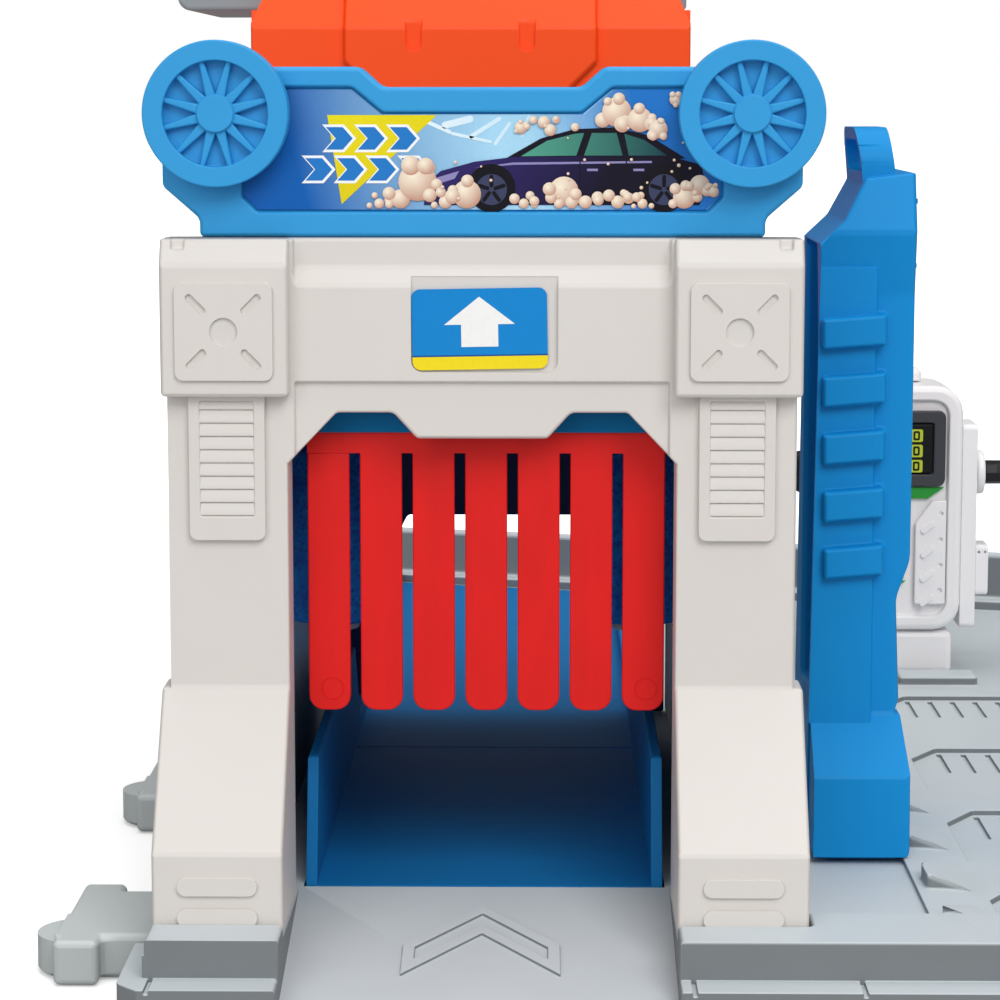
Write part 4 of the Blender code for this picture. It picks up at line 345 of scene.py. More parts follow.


# Finishes, each named for its plastic and how it was made; some also carry painted shade, noted where they
# stand
IVORY_ABS = MouldedPlastic("ivory_abs_moulded", "#D6D1CC", 0.42, cloud=0.010, glow=0.04)
# The base's upright walls (wall=0.34) and the clips' and spindles' (wall=0.80) are painted darker: painted
# shade
BASE_ABS = MouldedPlastic("grey_abs_moulded", "#C2CACE", 0.50, 0.35, 0.016, 0.02, wall=0.34)
CLIP_ABS = MouldedPlastic("clip_grey_abs", "#C3CACA", 0.50, 0.35, 0.016, 0.02, wall=0.80)
DECK_ABS = MouldedPlastic("deck_grey_abs", "#8F979C", 0.48, 0.35, 0.014, 0.02)
TRAY_ABS = MouldedPlastic("lane_blue_abs", "#0C74B6", 0.58, cloud=0.03, gloss=0.18)
SIGN_ABS = MouldedPlastic("sign_blue_abs", "#2F99D6", 0.42, cloud=0.015, glow=0.04, gloss=0.25)
PYLON_ABS = MouldedPlastic("pylon_blue_abs", "#0C8ACF", 0.50, cloud=0.02, gloss=0.15)
# The curtain rail is the same light-blue plastic as the other blue mouldings; its darker blue is painted
# shade for the shadow it hangs in
BEAM_ABS_PAINTED_SHADE = MouldedPlastic("beam_blue_abs", "#00659A", 0.50, cloud=0.03, gloss=0.1)
DEEP_ABS = MouldedPlastic("navy_abs", "#173E78", 0.46, cloud=0.03)
PUMP_ABS = MouldedPlastic("pump_white_abs", "#F0EEEF", 0.38, cloud=0.010, glow=0.04)
ORANGE_ABS = MouldedPlastic("orange_abs", "#FF4E0E", 0.44, cloud=0.0, gloss=0.25)
BEZEL_ABS = MouldedPlastic("bezel_grey_abs", "#3B3E43", 0.42, cloud=0.03)
CURTAIN_PVC = SoftRubber("red_soft_pvc", "#DC100C", 0.52)
HOSE_PVC = SoftRubber("black_soft_pvc", "#17181A", 0.44)
ROLLER_FOAM = CutFoam("blue_foam", "#0058FF")
SCREEN_FILM = PrintedFilm("screen_ink", "#111312")
GREEN_FILM = PrintedFilm("green_ink", "#2E9A3C")
LCD_FILM = PrintedFilm("display_ink", "#B9C93A")
DIGIT_FILM = PrintedFilm("digit_ink", "#20260E")


def deselect() -> None:
    """Leave nothing selected or active, because an operator acts on all that is selected."""
    if bpy.context.object is not None and bpy.context.object.mode != "OBJECT":
        bpy.ops.object.mode_set(mode="OBJECT")
    bpy.ops.object.select_all(action="DESELECT")


def activate(*objs: Piece) -> Piece:
    """Select only these objects and make the first one active."""
    deselect()
    for obj in objs:
        obj.select_set(True)
    bpy.context.view_layer.objects.active = objs[0]
    return objs[0]
@contextmanager
def edit_mode(obj: Piece) -> Iterator[None]:
    """Open a piece in edit mode for operators."""
    activate(obj)
    bpy.ops.object.mode_set(mode="EDIT")
    yield
    bpy.ops.object.mode_set(mode="OBJECT")


@contextmanager
def editing(obj: Piece) -> Iterator[Mesh]:
    """Open a piece's mesh for direct edits and write it back."""
    mesh = bmesh.new()
    mesh.from_mesh(obj.data)
    yield mesh
    mesh.to_mesh(obj.data)
    mesh.free()


def quarter(centre: Flat, radius: float, start: float, steps: int) -> list[Flat]:
    """Return points along a quarter circle from a start angle in radians."""
    return [(centre[0] + radius * math.cos(start + i * math.pi / (2 * steps)),
             centre[1] + radius * math.sin(start + i * math.pi / (2 * steps))) for i in range(steps + 1)]
class Bench:
    """Modelling steps on Blender's own operators, with sizes in millimetres."""

    @staticmethod
    def settle(obj: Piece, name: str) -> Piece:
        """Name a piece and move its place into its mesh."""
        activate(obj)
        bpy.ops.object.transform_apply(location=True, rotation=True, scale=True)
        obj.name = name
        obj.data.name = name
        return obj

    @staticmethod
    def block(name: str, low: Point, high: Point) -> Piece:
        """Add a block between two corners."""
        deselect()
        centre = (Vector(low) + Vector(high)) / 2 * MM
        bpy.ops.mesh.primitive_cube_add(size=1.0, location=centre)
        obj = bpy.context.object
        obj.scale = (Vector(high) - Vector(low)) * MM
        return Bench.settle(obj, name)

    @staticmethod
    def rod(name: str, centre: Point, radius: float, length: float, axis: Axis, sides: int = 32,
            tip: float | None = None) -> Piece:
        """Add a round bar, or a tapered one when tip gives the far radius."""
        deselect()
        right = math.pi / 2
        turn = {Axis.X: (0.0, right, 0.0), Axis.Y: (-right, 0.0, 0.0), Axis.Z: (0.0, 0.0, 0.0)}[axis]
        far = radius if tip is None else tip
        bpy.ops.mesh.primitive_cone_add(
            vertices=sides, radius1=radius * MM, radius2=far * MM, depth=length * MM,
            location=Vector(centre) * MM, rotation=turn)
        return Bench.settle(bpy.context.object, name)

    @staticmethod
    def plate(name: str, outline: Sequence[Flat], axis: Axis, span: Flat) -> Piece:
        """Push a flat outline along an axis between two places.

        Args:
            name: Name of the piece.
            outline: Corners as (y, z) for X, (x, z) for Y and (x, y) for Z.
            axis: Direction of the push.
            span: First and last place along the axis.

        Returns:
            The closed solid.
        """
        deselect()
        bpy.ops.mesh.primitive_circle_add(vertices=len(outline), radius=1.0, fill_type="NGON")
        obj = bpy.context.object
        for vertex, (u, v) in zip(obj.data.vertices, outline):
            spot = {Axis.X: (span[0], u, v), Axis.Y: (u, span[0], v), Axis.Z: (u, v, span[0])}[axis]
            vertex.co = Vector(spot) * MM
        depth = (span[1] - span[0]) * MM
        push = {Axis.X: (depth, 0, 0), Axis.Y: (0, depth, 0), Axis.Z: (0, 0, depth)}[axis]
        with edit_mode(obj):
            bpy.ops.mesh.select_all(action="SELECT")
            bpy.ops.mesh.extrude_region_move(TRANSFORM_OT_translate={"value": push})
            bpy.ops.mesh.select_all(action="SELECT")
            bpy.ops.mesh.normals_make_consistent(inside=False)
        return Bench.settle(obj, name)

    @staticmethod
    def apply(obj: Piece, kind: str, **settings: object) -> Piece:
        """Add one modifier with its settings and apply it."""
        activate(obj)
        modifier = obj.modifiers.new(kind.lower(), kind)
        for key, value in settings.items():
            setattr(modifier, key, value)
        bpy.ops.object.modifier_apply(modifier=modifier.name)
        return obj

    @staticmethod
    def soften(obj: Piece, width: float, rounds: int = 3, angle: float = 25.0,
               share: float = 0.42) -> Piece:
        """Round the edges sharper than an angle, each by no more than its neighbours leave room for.

        Args:
            obj: The piece.
            width: Width of the rounding.
            rounds: Segments of the rounding.
            angle: Least angle in degrees.
            share: Part of the free room beside an edge that its rounding may take.

        Returns:
            The piece.
        """
        with editing(obj) as mesh:
            floats = mesh.edges.layers.float
            layer = floats.get("bevel_weight_edge") or floats.new("bevel_weight_edge")
            sharp = {edge for edge in mesh.edges
                     if len(edge.link_faces) == 2 and edge.calc_face_angle(0.0) >= math.radians(angle)}
            limits = Bench.limits(mesh, width * MM, share)
            for start in sharp:
                chain, least = [start], limits[start]
                for edge in chain:
                    for other in (item for vertex in edge.verts for item in vertex.link_edges):
                        if other in sharp and other not in chain and 0.03 < Bench.bend(edge, other) < 0.46:
                            chain.append(other)
                            least = min(least, limits[other])
                limits.update(dict.fromkeys(chain, least))
                start[layer] = least / (width * MM)
        Bench.apply(obj, "BEVEL", width=width * MM, segments=rounds, limit_method="WEIGHT", loop_slide=False,
                    use_clamp_overlap=False, harden_normals=False, miter_outer="MITER_ARC")
        Bench.refill(obj)
        return Bench.crease(obj)

    @staticmethod
    def crease(obj: Piece) -> Piece:
        """Keep the shallow edges between broad flat areas crisp, and those of curves smooth."""
        with editing(obj) as mesh:
            broad = {}
            for number, group in enumerate(Bench.flats(mesh)):
                longest = max((edge.calc_length() for edge in Bench.rim(group)), default=1.0)
                wide = sum(face.calc_area() for face in group) > 1.3 * MM * longest
                broad.update((face, number if wide else -1) for face in group)
            for edge in mesh.edges:
                sides = [broad[face] for face in edge.link_faces]
                apart = len(sides) == 2 and sides[0] != sides[1] and min(sides) >= 0
                if apart and edge.calc_face_angle(0.0) > 0.035:
                    edge.smooth = False
        return obj

    @staticmethod
    def flats(mesh: Mesh) -> list[list[Face]]:
        """Return the flat areas of a mesh, each as the faces that lie side by side in one plane."""
        groups, seen = [], set()
        for seed in mesh.faces:
            if seed in seen:
                continue
            seen.add(seed)
            group = [seed]
            for face in group:
                for edge in face.edges:
                    for other in edge.link_faces:
                        if other not in seen and abs(other.normal.dot(seed.normal)) > 0.99998:
                            seen.add(other)
                            group.append(other)
            groups.append(group)
        return groups

    @staticmethod
    def rim(group: Sequence[Face]) -> list[Edge]:
        """Return the edges round a flat area and round its holes."""
        members = set(group)
        return [edge for face in group for edge in face.edges
                if sum(side in members for side in edge.link_faces) == 1]

    @staticmethod
    def bend(edge: Edge, other: Edge) -> float:
        """Return the turn in radians from one edge to another that shares a corner with it."""
        corner = next(vertex for vertex in edge.verts if vertex in other.verts)
        here = corner.co - edge.other_vert(corner).co
        return here.angle(other.other_vert(corner).co - corner.co, 0.0)

    @staticmethod
    def limits(mesh: Mesh, width: float, share: float) -> dict[Edge, float]:
        """Return how wide each edge may be rounded before its flat areas run out of room.

        Args:
            mesh: The piece's mesh.
            width: Width wanted, in metres.
            share: Part of the free room that a rounding may take.

        Returns:
            The width for each edge, in metres.
        """
        limits = dict.fromkeys(mesh.edges, width)
        for group in Bench.flats(mesh):
            rim = Bench.rim(group)
            meets = {}
            for edge in rim:
                for vertex in edge.verts:
                    meets.setdefault(vertex, []).append(edge)
            for edge in rim:
                beside = [other for vertex in edge.verts for other in meets[vertex] if other is not edge]
                lost = sum(math.tan(min(Bench.bend(edge, other), 2.6) / 2) for other in beside)
                free = share * Bench.room(edge, rim, width / share)
                limit = min(0.8 * edge.calc_length() / max(lost, 1e-6), free)
                for item in (edge, *beside):
                    limits[item] = min(limits[item], limit)
        return limits

    @staticmethod
    def room(edge: Edge, rim: Sequence[Edge], most: float) -> float:
        """Return the free distance from an edge across a flat area to what lies beside it, in metres.

        Args:
            edge: The edge to be rounded.
            rim: All edges of the flat area on one side of it.
            most: Distance beyond which nothing matters.

        Returns:
            The distance to the nearest edge that doesn't run on along this one.
        """
        near = most
        first, last = (v.co for v in edge.verts)
        along = (last - first).normalized()
        for other in rim:
            if any(v in edge.verts for v in other.verts):
                continue
            a, b = (v.co for v in other.verts)
            for point, start, end in ((a, first, last), (b, first, last), (first, a, b), (last, a, b)):
                share = max(0.0, min(1.0, (point - start).dot(end - start) / (end - start).length_squared))
                gap = point - start.lerp(end, share)
                if gap.length < near and abs(gap.normalized().dot(along)) < 0.80:
                    near = gap.length
        return near

    @staticmethod
    def refill(obj: Piece) -> Piece:
        """Fill the flat areas of a piece that fold over their own holes anew, from their rims."""
        with editing(obj) as mesh:
            folded = set()
            for corners in mesh.calc_loop_triangles():
                face = corners[0].face
                a, b, c = (corner.vert.co for corner in corners)
                if len(face.verts) > 4 and (b - a).cross(c - a).dot(face.normal) < -2e-9:
                    folded.add(face)
            for group in Bench.flats(mesh):
                if folded.isdisjoint(group) or sum(face.calc_area() for face in group) < 3e-7:
                    continue
                rim = Bench.rim(group)
                members = set(group)
                beside = [face for edge in rim for face in edge.link_faces if face not in members]
                normal = group[0].normal.copy()
                if sum(normal.dot(face.normal) for face in beside) < 0:
                    normal.negate()
                inner = {edge for face in group for edge in face.edges} - set(rim)
                bmesh.ops.delete(mesh, geom=list(inner), context="EDGES")
                bmesh.ops.delete(mesh, geom=[face for face in group if face.is_valid], context="FACES_ONLY")
                made = bmesh.ops.triangle_fill(mesh, use_beauty=True, use_dissolve=False, edges=rim,
                                               normal=normal)
                for face in made["geom"]:
                    if isinstance(face, Face):
                        face.normal_update()
                        if face.normal.dot(normal) < 0:
                            face.normal_flip()
        return obj

    @staticmethod
    def carve(obj: Piece, *tools: Piece) -> Piece:
        """Cut tools out of a piece and remove them."""
        for tool in tools:
            Bench.apply(obj, "BOOLEAN", operation="DIFFERENCE", solver="EXACT", object=tool)
            bpy.data.objects.remove(tool, do_unlink=True)
        return obj

    @staticmethod
    def fuse(obj: Piece, other: Piece) -> Piece:
        """Union another piece with a piece."""
        Bench.apply(obj, "BOOLEAN", operation="UNION", solver="EXACT", object=other)
        bpy.data.objects.remove(other, do_unlink=True)
        return obj

    @staticmethod
    def gather(name: str, parts: Sequence[Piece]) -> Piece:
        """Join pieces into one object without changing their surfaces."""
        obj = activate(*parts)
        if len(parts) > 1:
            bpy.ops.object.join()
        obj.name = name
        obj.data.name = name
        return obj

    @staticmethod
    def smooth(obj: Piece, angle: float = 35.0) -> Piece:
        """Shade a piece smooth, but sharp past an angle in degrees, with its large faces kept flat."""
        activate(obj)
        bpy.ops.object.shade_smooth_by_angle(angle=math.radians(angle))
        return Bench.apply(obj, "WEIGHTED_NORMAL", keep_sharp=True, weight=90, thresh=0.0)

    @staticmethod
    def turn(obj: Piece, degrees: float, axis: Axis, pivot: Point) -> Piece:
        """Turn a piece's mesh about a pivot."""
        place = Matrix.Translation(Vector(pivot) * MM)
        obj.data.transform(place @ Matrix.Rotation(math.radians(degrees), 4, axis.name) @ place.inverted())
        return obj

    @staticmethod
    def node_copy(node: str, name: str) -> Piece:
        """Copy a frame node and merge its loose triangles into a clean surface."""
        twin = bpy.data.objects.new(name, FRAME["nodes"][node].data.copy())
        bpy.context.scene.collection.objects.link(twin)
        twin.data.materials.clear()
        with edit_mode(twin):
            bpy.ops.mesh.select_all(action="SELECT")
            bpy.ops.mesh.remove_doubles(threshold=0.00001)
            bpy.ops.mesh.dissolve_limited(angle_limit=math.radians(0.6))
            bpy.ops.mesh.select_all(action="DESELECT")
        return twin

    @staticmethod
    def rows(obj: Piece, heights: Iterable[float]) -> None:
        """Cut a piece's faces across at each height."""
        with edit_mode(obj):
            for z in heights:
                bpy.ops.mesh.select_all(action="SELECT")
                bpy.ops.mesh.bisect(plane_co=(0.0, 0.0, z * MM), plane_no=(0.0, 0.0, 1.0))

    @staticmethod
    def ring(radius: float, centre: Flat, count: int, start: float = 0.0) -> list[Flat]:
        """Return points round a circle."""
        return [(centre[0] + radius * math.cos(start + 2 * math.pi * i / count),
                 centre[1] + radius * math.sin(start + 2 * math.pi * i / count)) for i in range(count)]

    @staticmethod
    def pad(centre: Flat, width: float, height: float, radius: float, steps: int = 5) -> list[Flat]:
        """Return the outline of a rectangle with round corners."""
        points = []
        for quarter, (sx, sy) in enumerate(((1, -1), (1, 1), (-1, 1), (-1, -1))):
            mx = centre[0] + sx * (width / 2 - radius)
            my = centre[1] + sy * (height / 2 - radius)
            for step in range(steps + 1):
                angle = math.pi / 2 * (quarter - 1 + step / steps)
                points.append((mx + radius * math.cos(angle), my + radius * math.sin(angle)))
        return points


def mirrored(points: Iterable[Flat]) -> list[Flat]:
    """Return an outline's right half followed by its mirror image."""
    right = list(points)
    return right + [(-x, z) for x, z in reversed(right)]


def film(outline: Sequence[Flat], ink: Finish, front: float, back: float) -> Piece:
    """Make one printed area between two depths."""
    piece = Bench.plate("ink", outline, Axis.Y, (front, back))
    piece.data.materials.append(ink.material())
    return piece


def dress(obj: Piece, finish: Finish | None, nodes: Sequence[str] = (),
          body: str = BODY) -> Piece:
    """Give a finished piece its finish, its body and the nodes it stands for.

    Args:
        obj: The piece.
        finish: Its finish, or nothing where it already has its materials.
        nodes: Frame nodes that it replaces.
        body: Body that carries it, or nothing where it is blended between two.

    Returns:
        The piece.
    """
    if finish is not None:
        obj.data.materials.clear()
        obj.data.materials.append(finish.material())
    if body:
        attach(obj, body)
    if nodes:
        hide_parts(*nodes)
    LOG.info("%s: %d faces, rides on %s", obj.name, len(obj.data.polygons), body or "two bodies")
    return obj


def node_box(node: str) -> tuple[Vector, Vector]:
    """Return a frame node's corners in millimetres."""
    low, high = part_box(node)
    return Vector(low) / MM, Vector(high) / MM


def softened(node: str, name: str, finish: Finish, width: float,
             body: str = BODY) -> Piece:
    """Replace a frame node by a copy with rounded edges."""
    twin = Bench.node_copy(node, name)
    Bench.soften(twin, width)
    return dress(Bench.smooth(twin, 40.0), finish, [node], body)


@dataclass
class Studio:
    """Pale floor, soft lamps and the camera at the photograph's place."""

    camera_place: Point = (0.0077, -0.400, 0.116)
    pitch_down: float = 7.78
    yaw_left: float = 0.79
    lens: float = 108.0
    lamps: dict[str, tuple[Point, Point, float, float]] = field(default_factory=lambda: {
        "key": ((0.45, -1.15, 1.05), (0.0, 0.0, 0.06), 0.80, 12.6),
        "fill": ((-0.56, -1.36, 0.62), (0.0, 0.0, 0.06), 0.80, 5.6),
        "crown": ((0.05, 0.10, 0.90), (0.0, 0.06, 0.0), 0.70, 3.5),
    })
    near: float = 0.34
    far: float = 0.46
    sky_level: float = 0.42
    gloss_level: float = 0.14
    paper_mm: float = 60.0

    def build(self) -> None:
        """Set the camera, the lamps, the world and the floor."""
        self.set_camera()
        self.set_lamps()
        self.set_world()
        self.set_floor()
        bpy.context.scene.view_settings.view_transform = "Standard"

    def set_camera(self) -> None:
        """Place the camera that matches the photograph."""
        data = bpy.data.cameras.new("camera")
        data.lens = self.lens
        data.sensor_width = 36.0
        data.clip_start = 0.01
        data.clip_end = 50.0
        camera = bpy.data.objects.new("camera", data)
        camera.location = self.camera_place
        camera.rotation_euler = (math.radians(90 - self.pitch_down), 0.0, math.radians(self.yaw_left))
        bpy.context.scene.collection.objects.link(camera)
        bpy.context.scene.camera = camera

    def set_lamps(self) -> None:
        """Hang the soft lamps, each turned to its target."""
        for name, (place, target, size, watts) in self.lamps.items():
            data = bpy.data.lights.new(name, "AREA")
            data.shape = "SQUARE"
            data.size = size
            data.energy = watts
            lamp = bpy.data.objects.new(name, data)
            lamp.location = place
            lamp.rotation_euler = (Vector(target) - Vector(place)).to_track_quat("-Z", "Y").to_euler()
            bpy.context.scene.collection.objects.link(lamp)

    def set_world(self) -> None:
        """White to the camera, a plain soft level for the light itself and a low one for gloss."""
        world = bpy.data.worlds.new("world")
        world.use_nodes = True
        bpy.context.scene.world = world
        tree = world.node_tree
        tree.nodes.clear()
        path, seen = seen_directly(tree)
        level = ramp(tree, path.outputs["Is Glossy Ray"], self.sky_level, self.gloss_level)
        light = add_node(tree, "ShaderNodeBackground", {"Color": (1, 1, 1, 1)}, {"Strength": level})
        white = add_node(tree, "ShaderNodeBackground", {"Color": (1, 1, 1, 1), "Strength": 1.0})
        links = {0: seen, 1: light.outputs[0], 2: white.outputs[0]}
        mix = add_node(tree, "ShaderNodeMixShader", None, links)
        add_node(tree, "ShaderNodeOutputWorld", None, {"Surface": mix.outputs[0]})

    def set_floor(self) -> None:
        """Lay a pale floor that keeps the toy's shadow."""
        deselect()
        bpy.ops.mesh.primitive_plane_add(size=12.0, location=(0.0, 0.0, -0.0002))
        floor = bpy.context.object
        floor.name = "floor"
        material, tree, shader = new_material("pale_floor")
        place = on_object(tree)
        seen = seen_directly(tree)[1]
        away = add_node(tree, "ShaderNodeVectorMath", {"operation": "LENGTH"}, {0: place}).outputs["Value"]
        share = times(tree, ramp(tree, away, 0.30, 1.0, self.near, self.far), seen)
        speck = ramp(tree, noise(tree, place, self.paper_mm), 0.985, 1.0)
        colour = scaled(tree, blended(tree, seen, "#B9B9B9", "#FFFFFF"), speck)
        tree.links.new(colour, shader.inputs["Base Color"])
        tree.links.new(share, shader.inputs["Emission Strength"])
        shader.inputs["Emission Color"].default_value = (1.0, 1.0, 1.0, 1.0)
        shader.inputs["Roughness"].default_value = 0.95
        shader.inputs["Specular IOR Level"].default_value = 0.1
        floor.data.materials.append(material)
        LOG.info("studio is set")


@dataclass
class GateLooks:
    """Arched gate shell with corner blocks, plaques, louvred plates and feet."""

    opening_half: float = 25.3
    leg_outer: float = 41.0
    foot_outer: float = 42.2
    seat: float = 8.3
    top: float = 97.0
    front: float = -12.0
    back: float = -5.5
    foot_front: float = -26.0
    foot_shoulder: float = 19.0
    knee: float = 38.0
    wall: float = 1.8
    spring: float = 67.7
    crown: float = 74.3
    tab: float = 70.9
    edge: float = 0.50
    block_width: float = 16.6
    block_low: float = 76.7
    crown_outer: float = 19.0
    crown_inner: float = 11.6
    tab_half: float = 8.5
    band_low: float = 91.0
    band_top: float = 93.2
    band_depth: float = 1.4
    step_top: float = 78.4
    step_depth: float = 0.8
    pill_top: float = 14.8
    pill_pitch: float = 4.1
    pill_size: Flat = (10.3, 2.4)
    block_proud: float = 3.0
    brow_low: float = 93.8
    brow_depth: float = 1.6
    notch_inset: float = 1.8
    notch_half: float = 0.85
    notch_depth: float = 1.3
    plaque_size: float = 12.7
    plaque_z: float = 85.2
    plaque_proud: float = 0.6
    disc_radius: float = 1.8
    slot_offset: float = 3.55
    slot_size: Flat = (3.3, 0.95)
    corner: float = 1.1
    vent_top: float = 77.3
    vent_low: float = 57.7
    vent_half: float = 5.0
    field_half: float = 3.5
    field_top: float = 76.0
    field_low: float = 60.9
    field_depth: float = 0.6
    first_slat: float = 1.2
    slats: int = 9
    label_size: Flat = (17.6, 10.5)
    label_x: float = -0.3
    raised: list[Piece] = field(default_factory=list)

    def block_centre(self, side: int) -> float:
        """Return the middle of a corner block across the gate."""
        return side * (self.leg_outer + 0.5 - self.block_width / 2)

    def frame(self) -> Piece:
        """Arch plate fused with the feet, with its band, step, hollow legs and the feet's pills."""
        outline = mirrored([(self.leg_outer, self.top), (self.leg_outer, self.seat),
                            (self.opening_half, self.seat), (self.opening_half, self.spring),
                            (self.crown_outer, self.crown), (self.crown_inner, self.crown),
                            (self.tab_half, self.tab)])
        arch = Bench.plate("gate_shell", outline, Axis.Y, (self.front, self.back))
        toe, face, wall = self.foot_front, self.front, self.wall
        profile = [(self.back, self.seat), (toe, self.seat), (toe, self.foot_shoulder), (face, self.knee),
                   (self.back, self.knee)]
        for side in (-1, 1):
            span = (side * self.opening_half, side * self.foot_outer)
            Bench.fuse(arch, Bench.plate("foot", profile, Axis.X, span))
        inner = self.leg_outer - self.block_width
        ledge = face + self.band_depth
        profile = [(face - OVERRUN, self.band_low), (face, self.band_low), (ledge, self.band_top),
                   (ledge, self.top + OVERRUN), (face - OVERRUN, self.top + OVERRUN)]
        band = Bench.plate("band", profile, Axis.X, (-inner, inner))
        sunk = face + self.step_depth
        step = Bench.block("step", (-inner, face - OVERRUN, self.spring), (inner, sunk, self.step_top))
        Bench.carve(arch, band, step)
        Bench.soften(arch, self.edge, 3, 20.0)
        Bench.carve(arch, Bench.plate("label_seat", self.label_outline(), Axis.Y, (face - OVERRUN, sunk)))
        rear = self.back + OVERRUN
        profile = [(rear, self.seat + wall), (toe + wall, self.seat + wall), (toe + wall, self.foot_shoulder),
                   (face + wall, self.knee), (face + wall, self.spring), (rear, self.spring)]
        for side in (-1, 1):
            span = (side * (self.opening_half + wall), side * (self.leg_outer - wall))
            Bench.carve(arch, Bench.plate("hollow", profile, Axis.X, span))
            middle = side * (self.opening_half + self.foot_outer) / 2
            for row in range(2):
                shape = Bench.pad((middle, self.pill_top - self.pill_pitch * row), *self.pill_size, 1.15, 6)
                pill = Bench.plate("pill", shape, Axis.Y, (toe - 0.55, toe + 0.6))
                self.raised.append(Bench.soften(pill, 0.5, 3))
        return arch

    def label_outline(self) -> list[Flat]:
        """Recess with square upper corners and rounded lower ones."""
        points = [(9.9, 92.1), (-9.2, 92.1)]
        for x, start in ((-7.7, math.pi), (8.4, 1.5 * math.pi)):
            points += quarter((x, 81.2), 1.5, start, 5)
        return points

    def corner_block(self, side: int) -> Piece:
        """Block with a slot in its top edge and a chamfered brow."""
        middle = self.block_centre(side)
        half = self.block_width / 2
        face = self.front - self.block_proud
        rear = self.back - self.wall
        profile = [(rear, self.block_low), (face, self.block_low), (face, self.brow_low),
                   (face + self.brow_depth, self.top), (rear, self.top)]
        block = Bench.plate("block", profile, Axis.X, (middle - half, middle + half))
        notch = side * (self.leg_outer - self.notch_inset)
        low = (notch - self.notch_half, face - OVERRUN, self.top - self.notch_depth)
        high = (notch + self.notch_half, self.front - self.step_depth, self.top + OVERRUN)
        Bench.carve(block, Bench.block("notch", low, high))
        return Bench.soften(block, 0.6, 3, 15.0)

    def plaque(self, side: int) -> Piece:
        """Square plate with a sunk disc and four slanting slots."""
        middle = self.block_centre(side)
        face = self.front - self.block_proud
        size, proud = self.plaque_size, self.plaque_proud
        shape = Bench.pad((middle, self.plaque_z), size, size, self.corner)
        plate = Bench.plate("plaque", shape, Axis.Y, (face - proud, face + proud))
        hole = (middle, face - proud, self.plaque_z)
        tools = [Bench.rod("hole", hole, self.disc_radius, 1.0, Axis.Y, 32)]
        for sx, sz in ((-1, -1), (-1, 1), (1, -1), (1, 1)):
            x, z = middle + sx * self.slot_offset, self.plaque_z + sz * self.slot_offset
            shape = Bench.pad((x, z), *self.slot_size, 0.42)
            slot = Bench.plate("slot", shape, Axis.Y, (face - 1.6, face - 0.15))
            tools.append(Bench.turn(slot, -45.0 * sx * sz, Axis.Y, (x, face, z)))
        Bench.carve(plate, *tools)
        return Bench.soften(plate, 0.26, 2, 45.0)

    def vent(self, side: int) -> Piece:
        """Louvred plate: a bordered field of sloping slats above a plain pad."""
        middle = self.block_centre(side)
        face = self.front - 1.0
        half = self.field_half
        centre = (middle, (self.vent_top + self.vent_low) / 2)
        shape = Bench.pad(centre, self.vent_half * 2, self.vent_top - self.vent_low, self.corner)
        plate = Bench.plate("vent", shape, Axis.Y, (face, face + OVERRUN))
        low = (middle - half, face - OVERRUN, self.field_low)
        Bench.carve(plate, Bench.block("well", low, (middle + half, face + self.field_depth, self.field_top)))
        parts = [Bench.soften(plate, 0.38, 3, 45.0)]
        pitch = (self.field_top - self.first_slat - self.field_low) / (self.slats - 1)
        high = self.field_top
        for row in range(self.slats):
            low = high - (self.first_slat if row == 0 else pitch)
            step = high - low
            profile = [(face + 0.9, low), (face + 0.48, low + 0.02), (face + 0.20, low + 0.10),
                       (face + 0.13, low + 0.28), (face + 0.17, low + step * 0.45),
                       (face + 0.33, low + step * 0.85), (face + 0.47, high - 0.01), (face + 0.9, high)]
            parts.append(Bench.plate("slat", profile, Axis.X, (middle - half - 0.2, middle + half + 0.2)))
            high = low
        return Bench.gather("vent", parts)

    def build(self) -> None:
        """Assemble the gate and its label."""
        parts = [self.frame()] + self.raised
        for side in (-1, 1):
            parts += [self.corner_block(side), self.plaque(side), self.vent(side)]
        gate = Bench.gather("gate_shell", parts)
        dress(Bench.smooth(gate, 32.0), IVORY_ABS, ["front_gate"])
        self.label()

    def label(self) -> None:
        """Bay label: blue film with a yellow foot and a plain white arrow."""
        low, high = node_box("gate_label")
        face = low.y
        x, z = self.label_x, (low.z + high.z) / 2 - 0.6
        wide, tall = self.label_size
        arrow = [(x - 2.4, z - 2.3), (x - 2.4, z + 0.6), (x - 4.6, z + 0.6), (x, z + 4.2), (x + 4.6, z + 0.6),
                 (x + 2.4, z + 0.6), (x + 2.4, z - 2.3)]
        layers = [
            (Bench.pad((x, z), wide, tall, self.corner), PrintedFilm("label_blue_ink", "#0883CC"), 0.0),
            (self.foot_band(x, z), PrintedFilm("label_yellow_ink", "#EFD81C"), 0.02),
            (Bench.pad((x, z - 3.45), wide, 0.20, 0.05), PrintedFilm("label_navy_ink", "#1D4F8C"), 0.03),
            (arrow, PrintedFilm("label_white_ink", "#EFEFEE"), 0.03),
        ]
        label = Bench.gather("label_print", [film(shape, ink, face - lift, high.y - 0.02)
                                             for shape, ink, lift in layers])
        dress(Bench.turn(label, -1.0, Axis.Y, (x, face, z)), None, ["gate_label"])

    def foot_band(self, x: float, z: float) -> list[Flat]:
        """Return the label's lower band, whose lower corners follow the film's."""
        points = [(x + 8.8, z - 3.5), (x - 8.8, z - 3.5)]
        for middle, start in ((x - 7.7, math.pi), (x + 7.7, 1.5 * math.pi)):
            points += quarter((middle, z - 4.15), self.corner, start, 5)
        return points


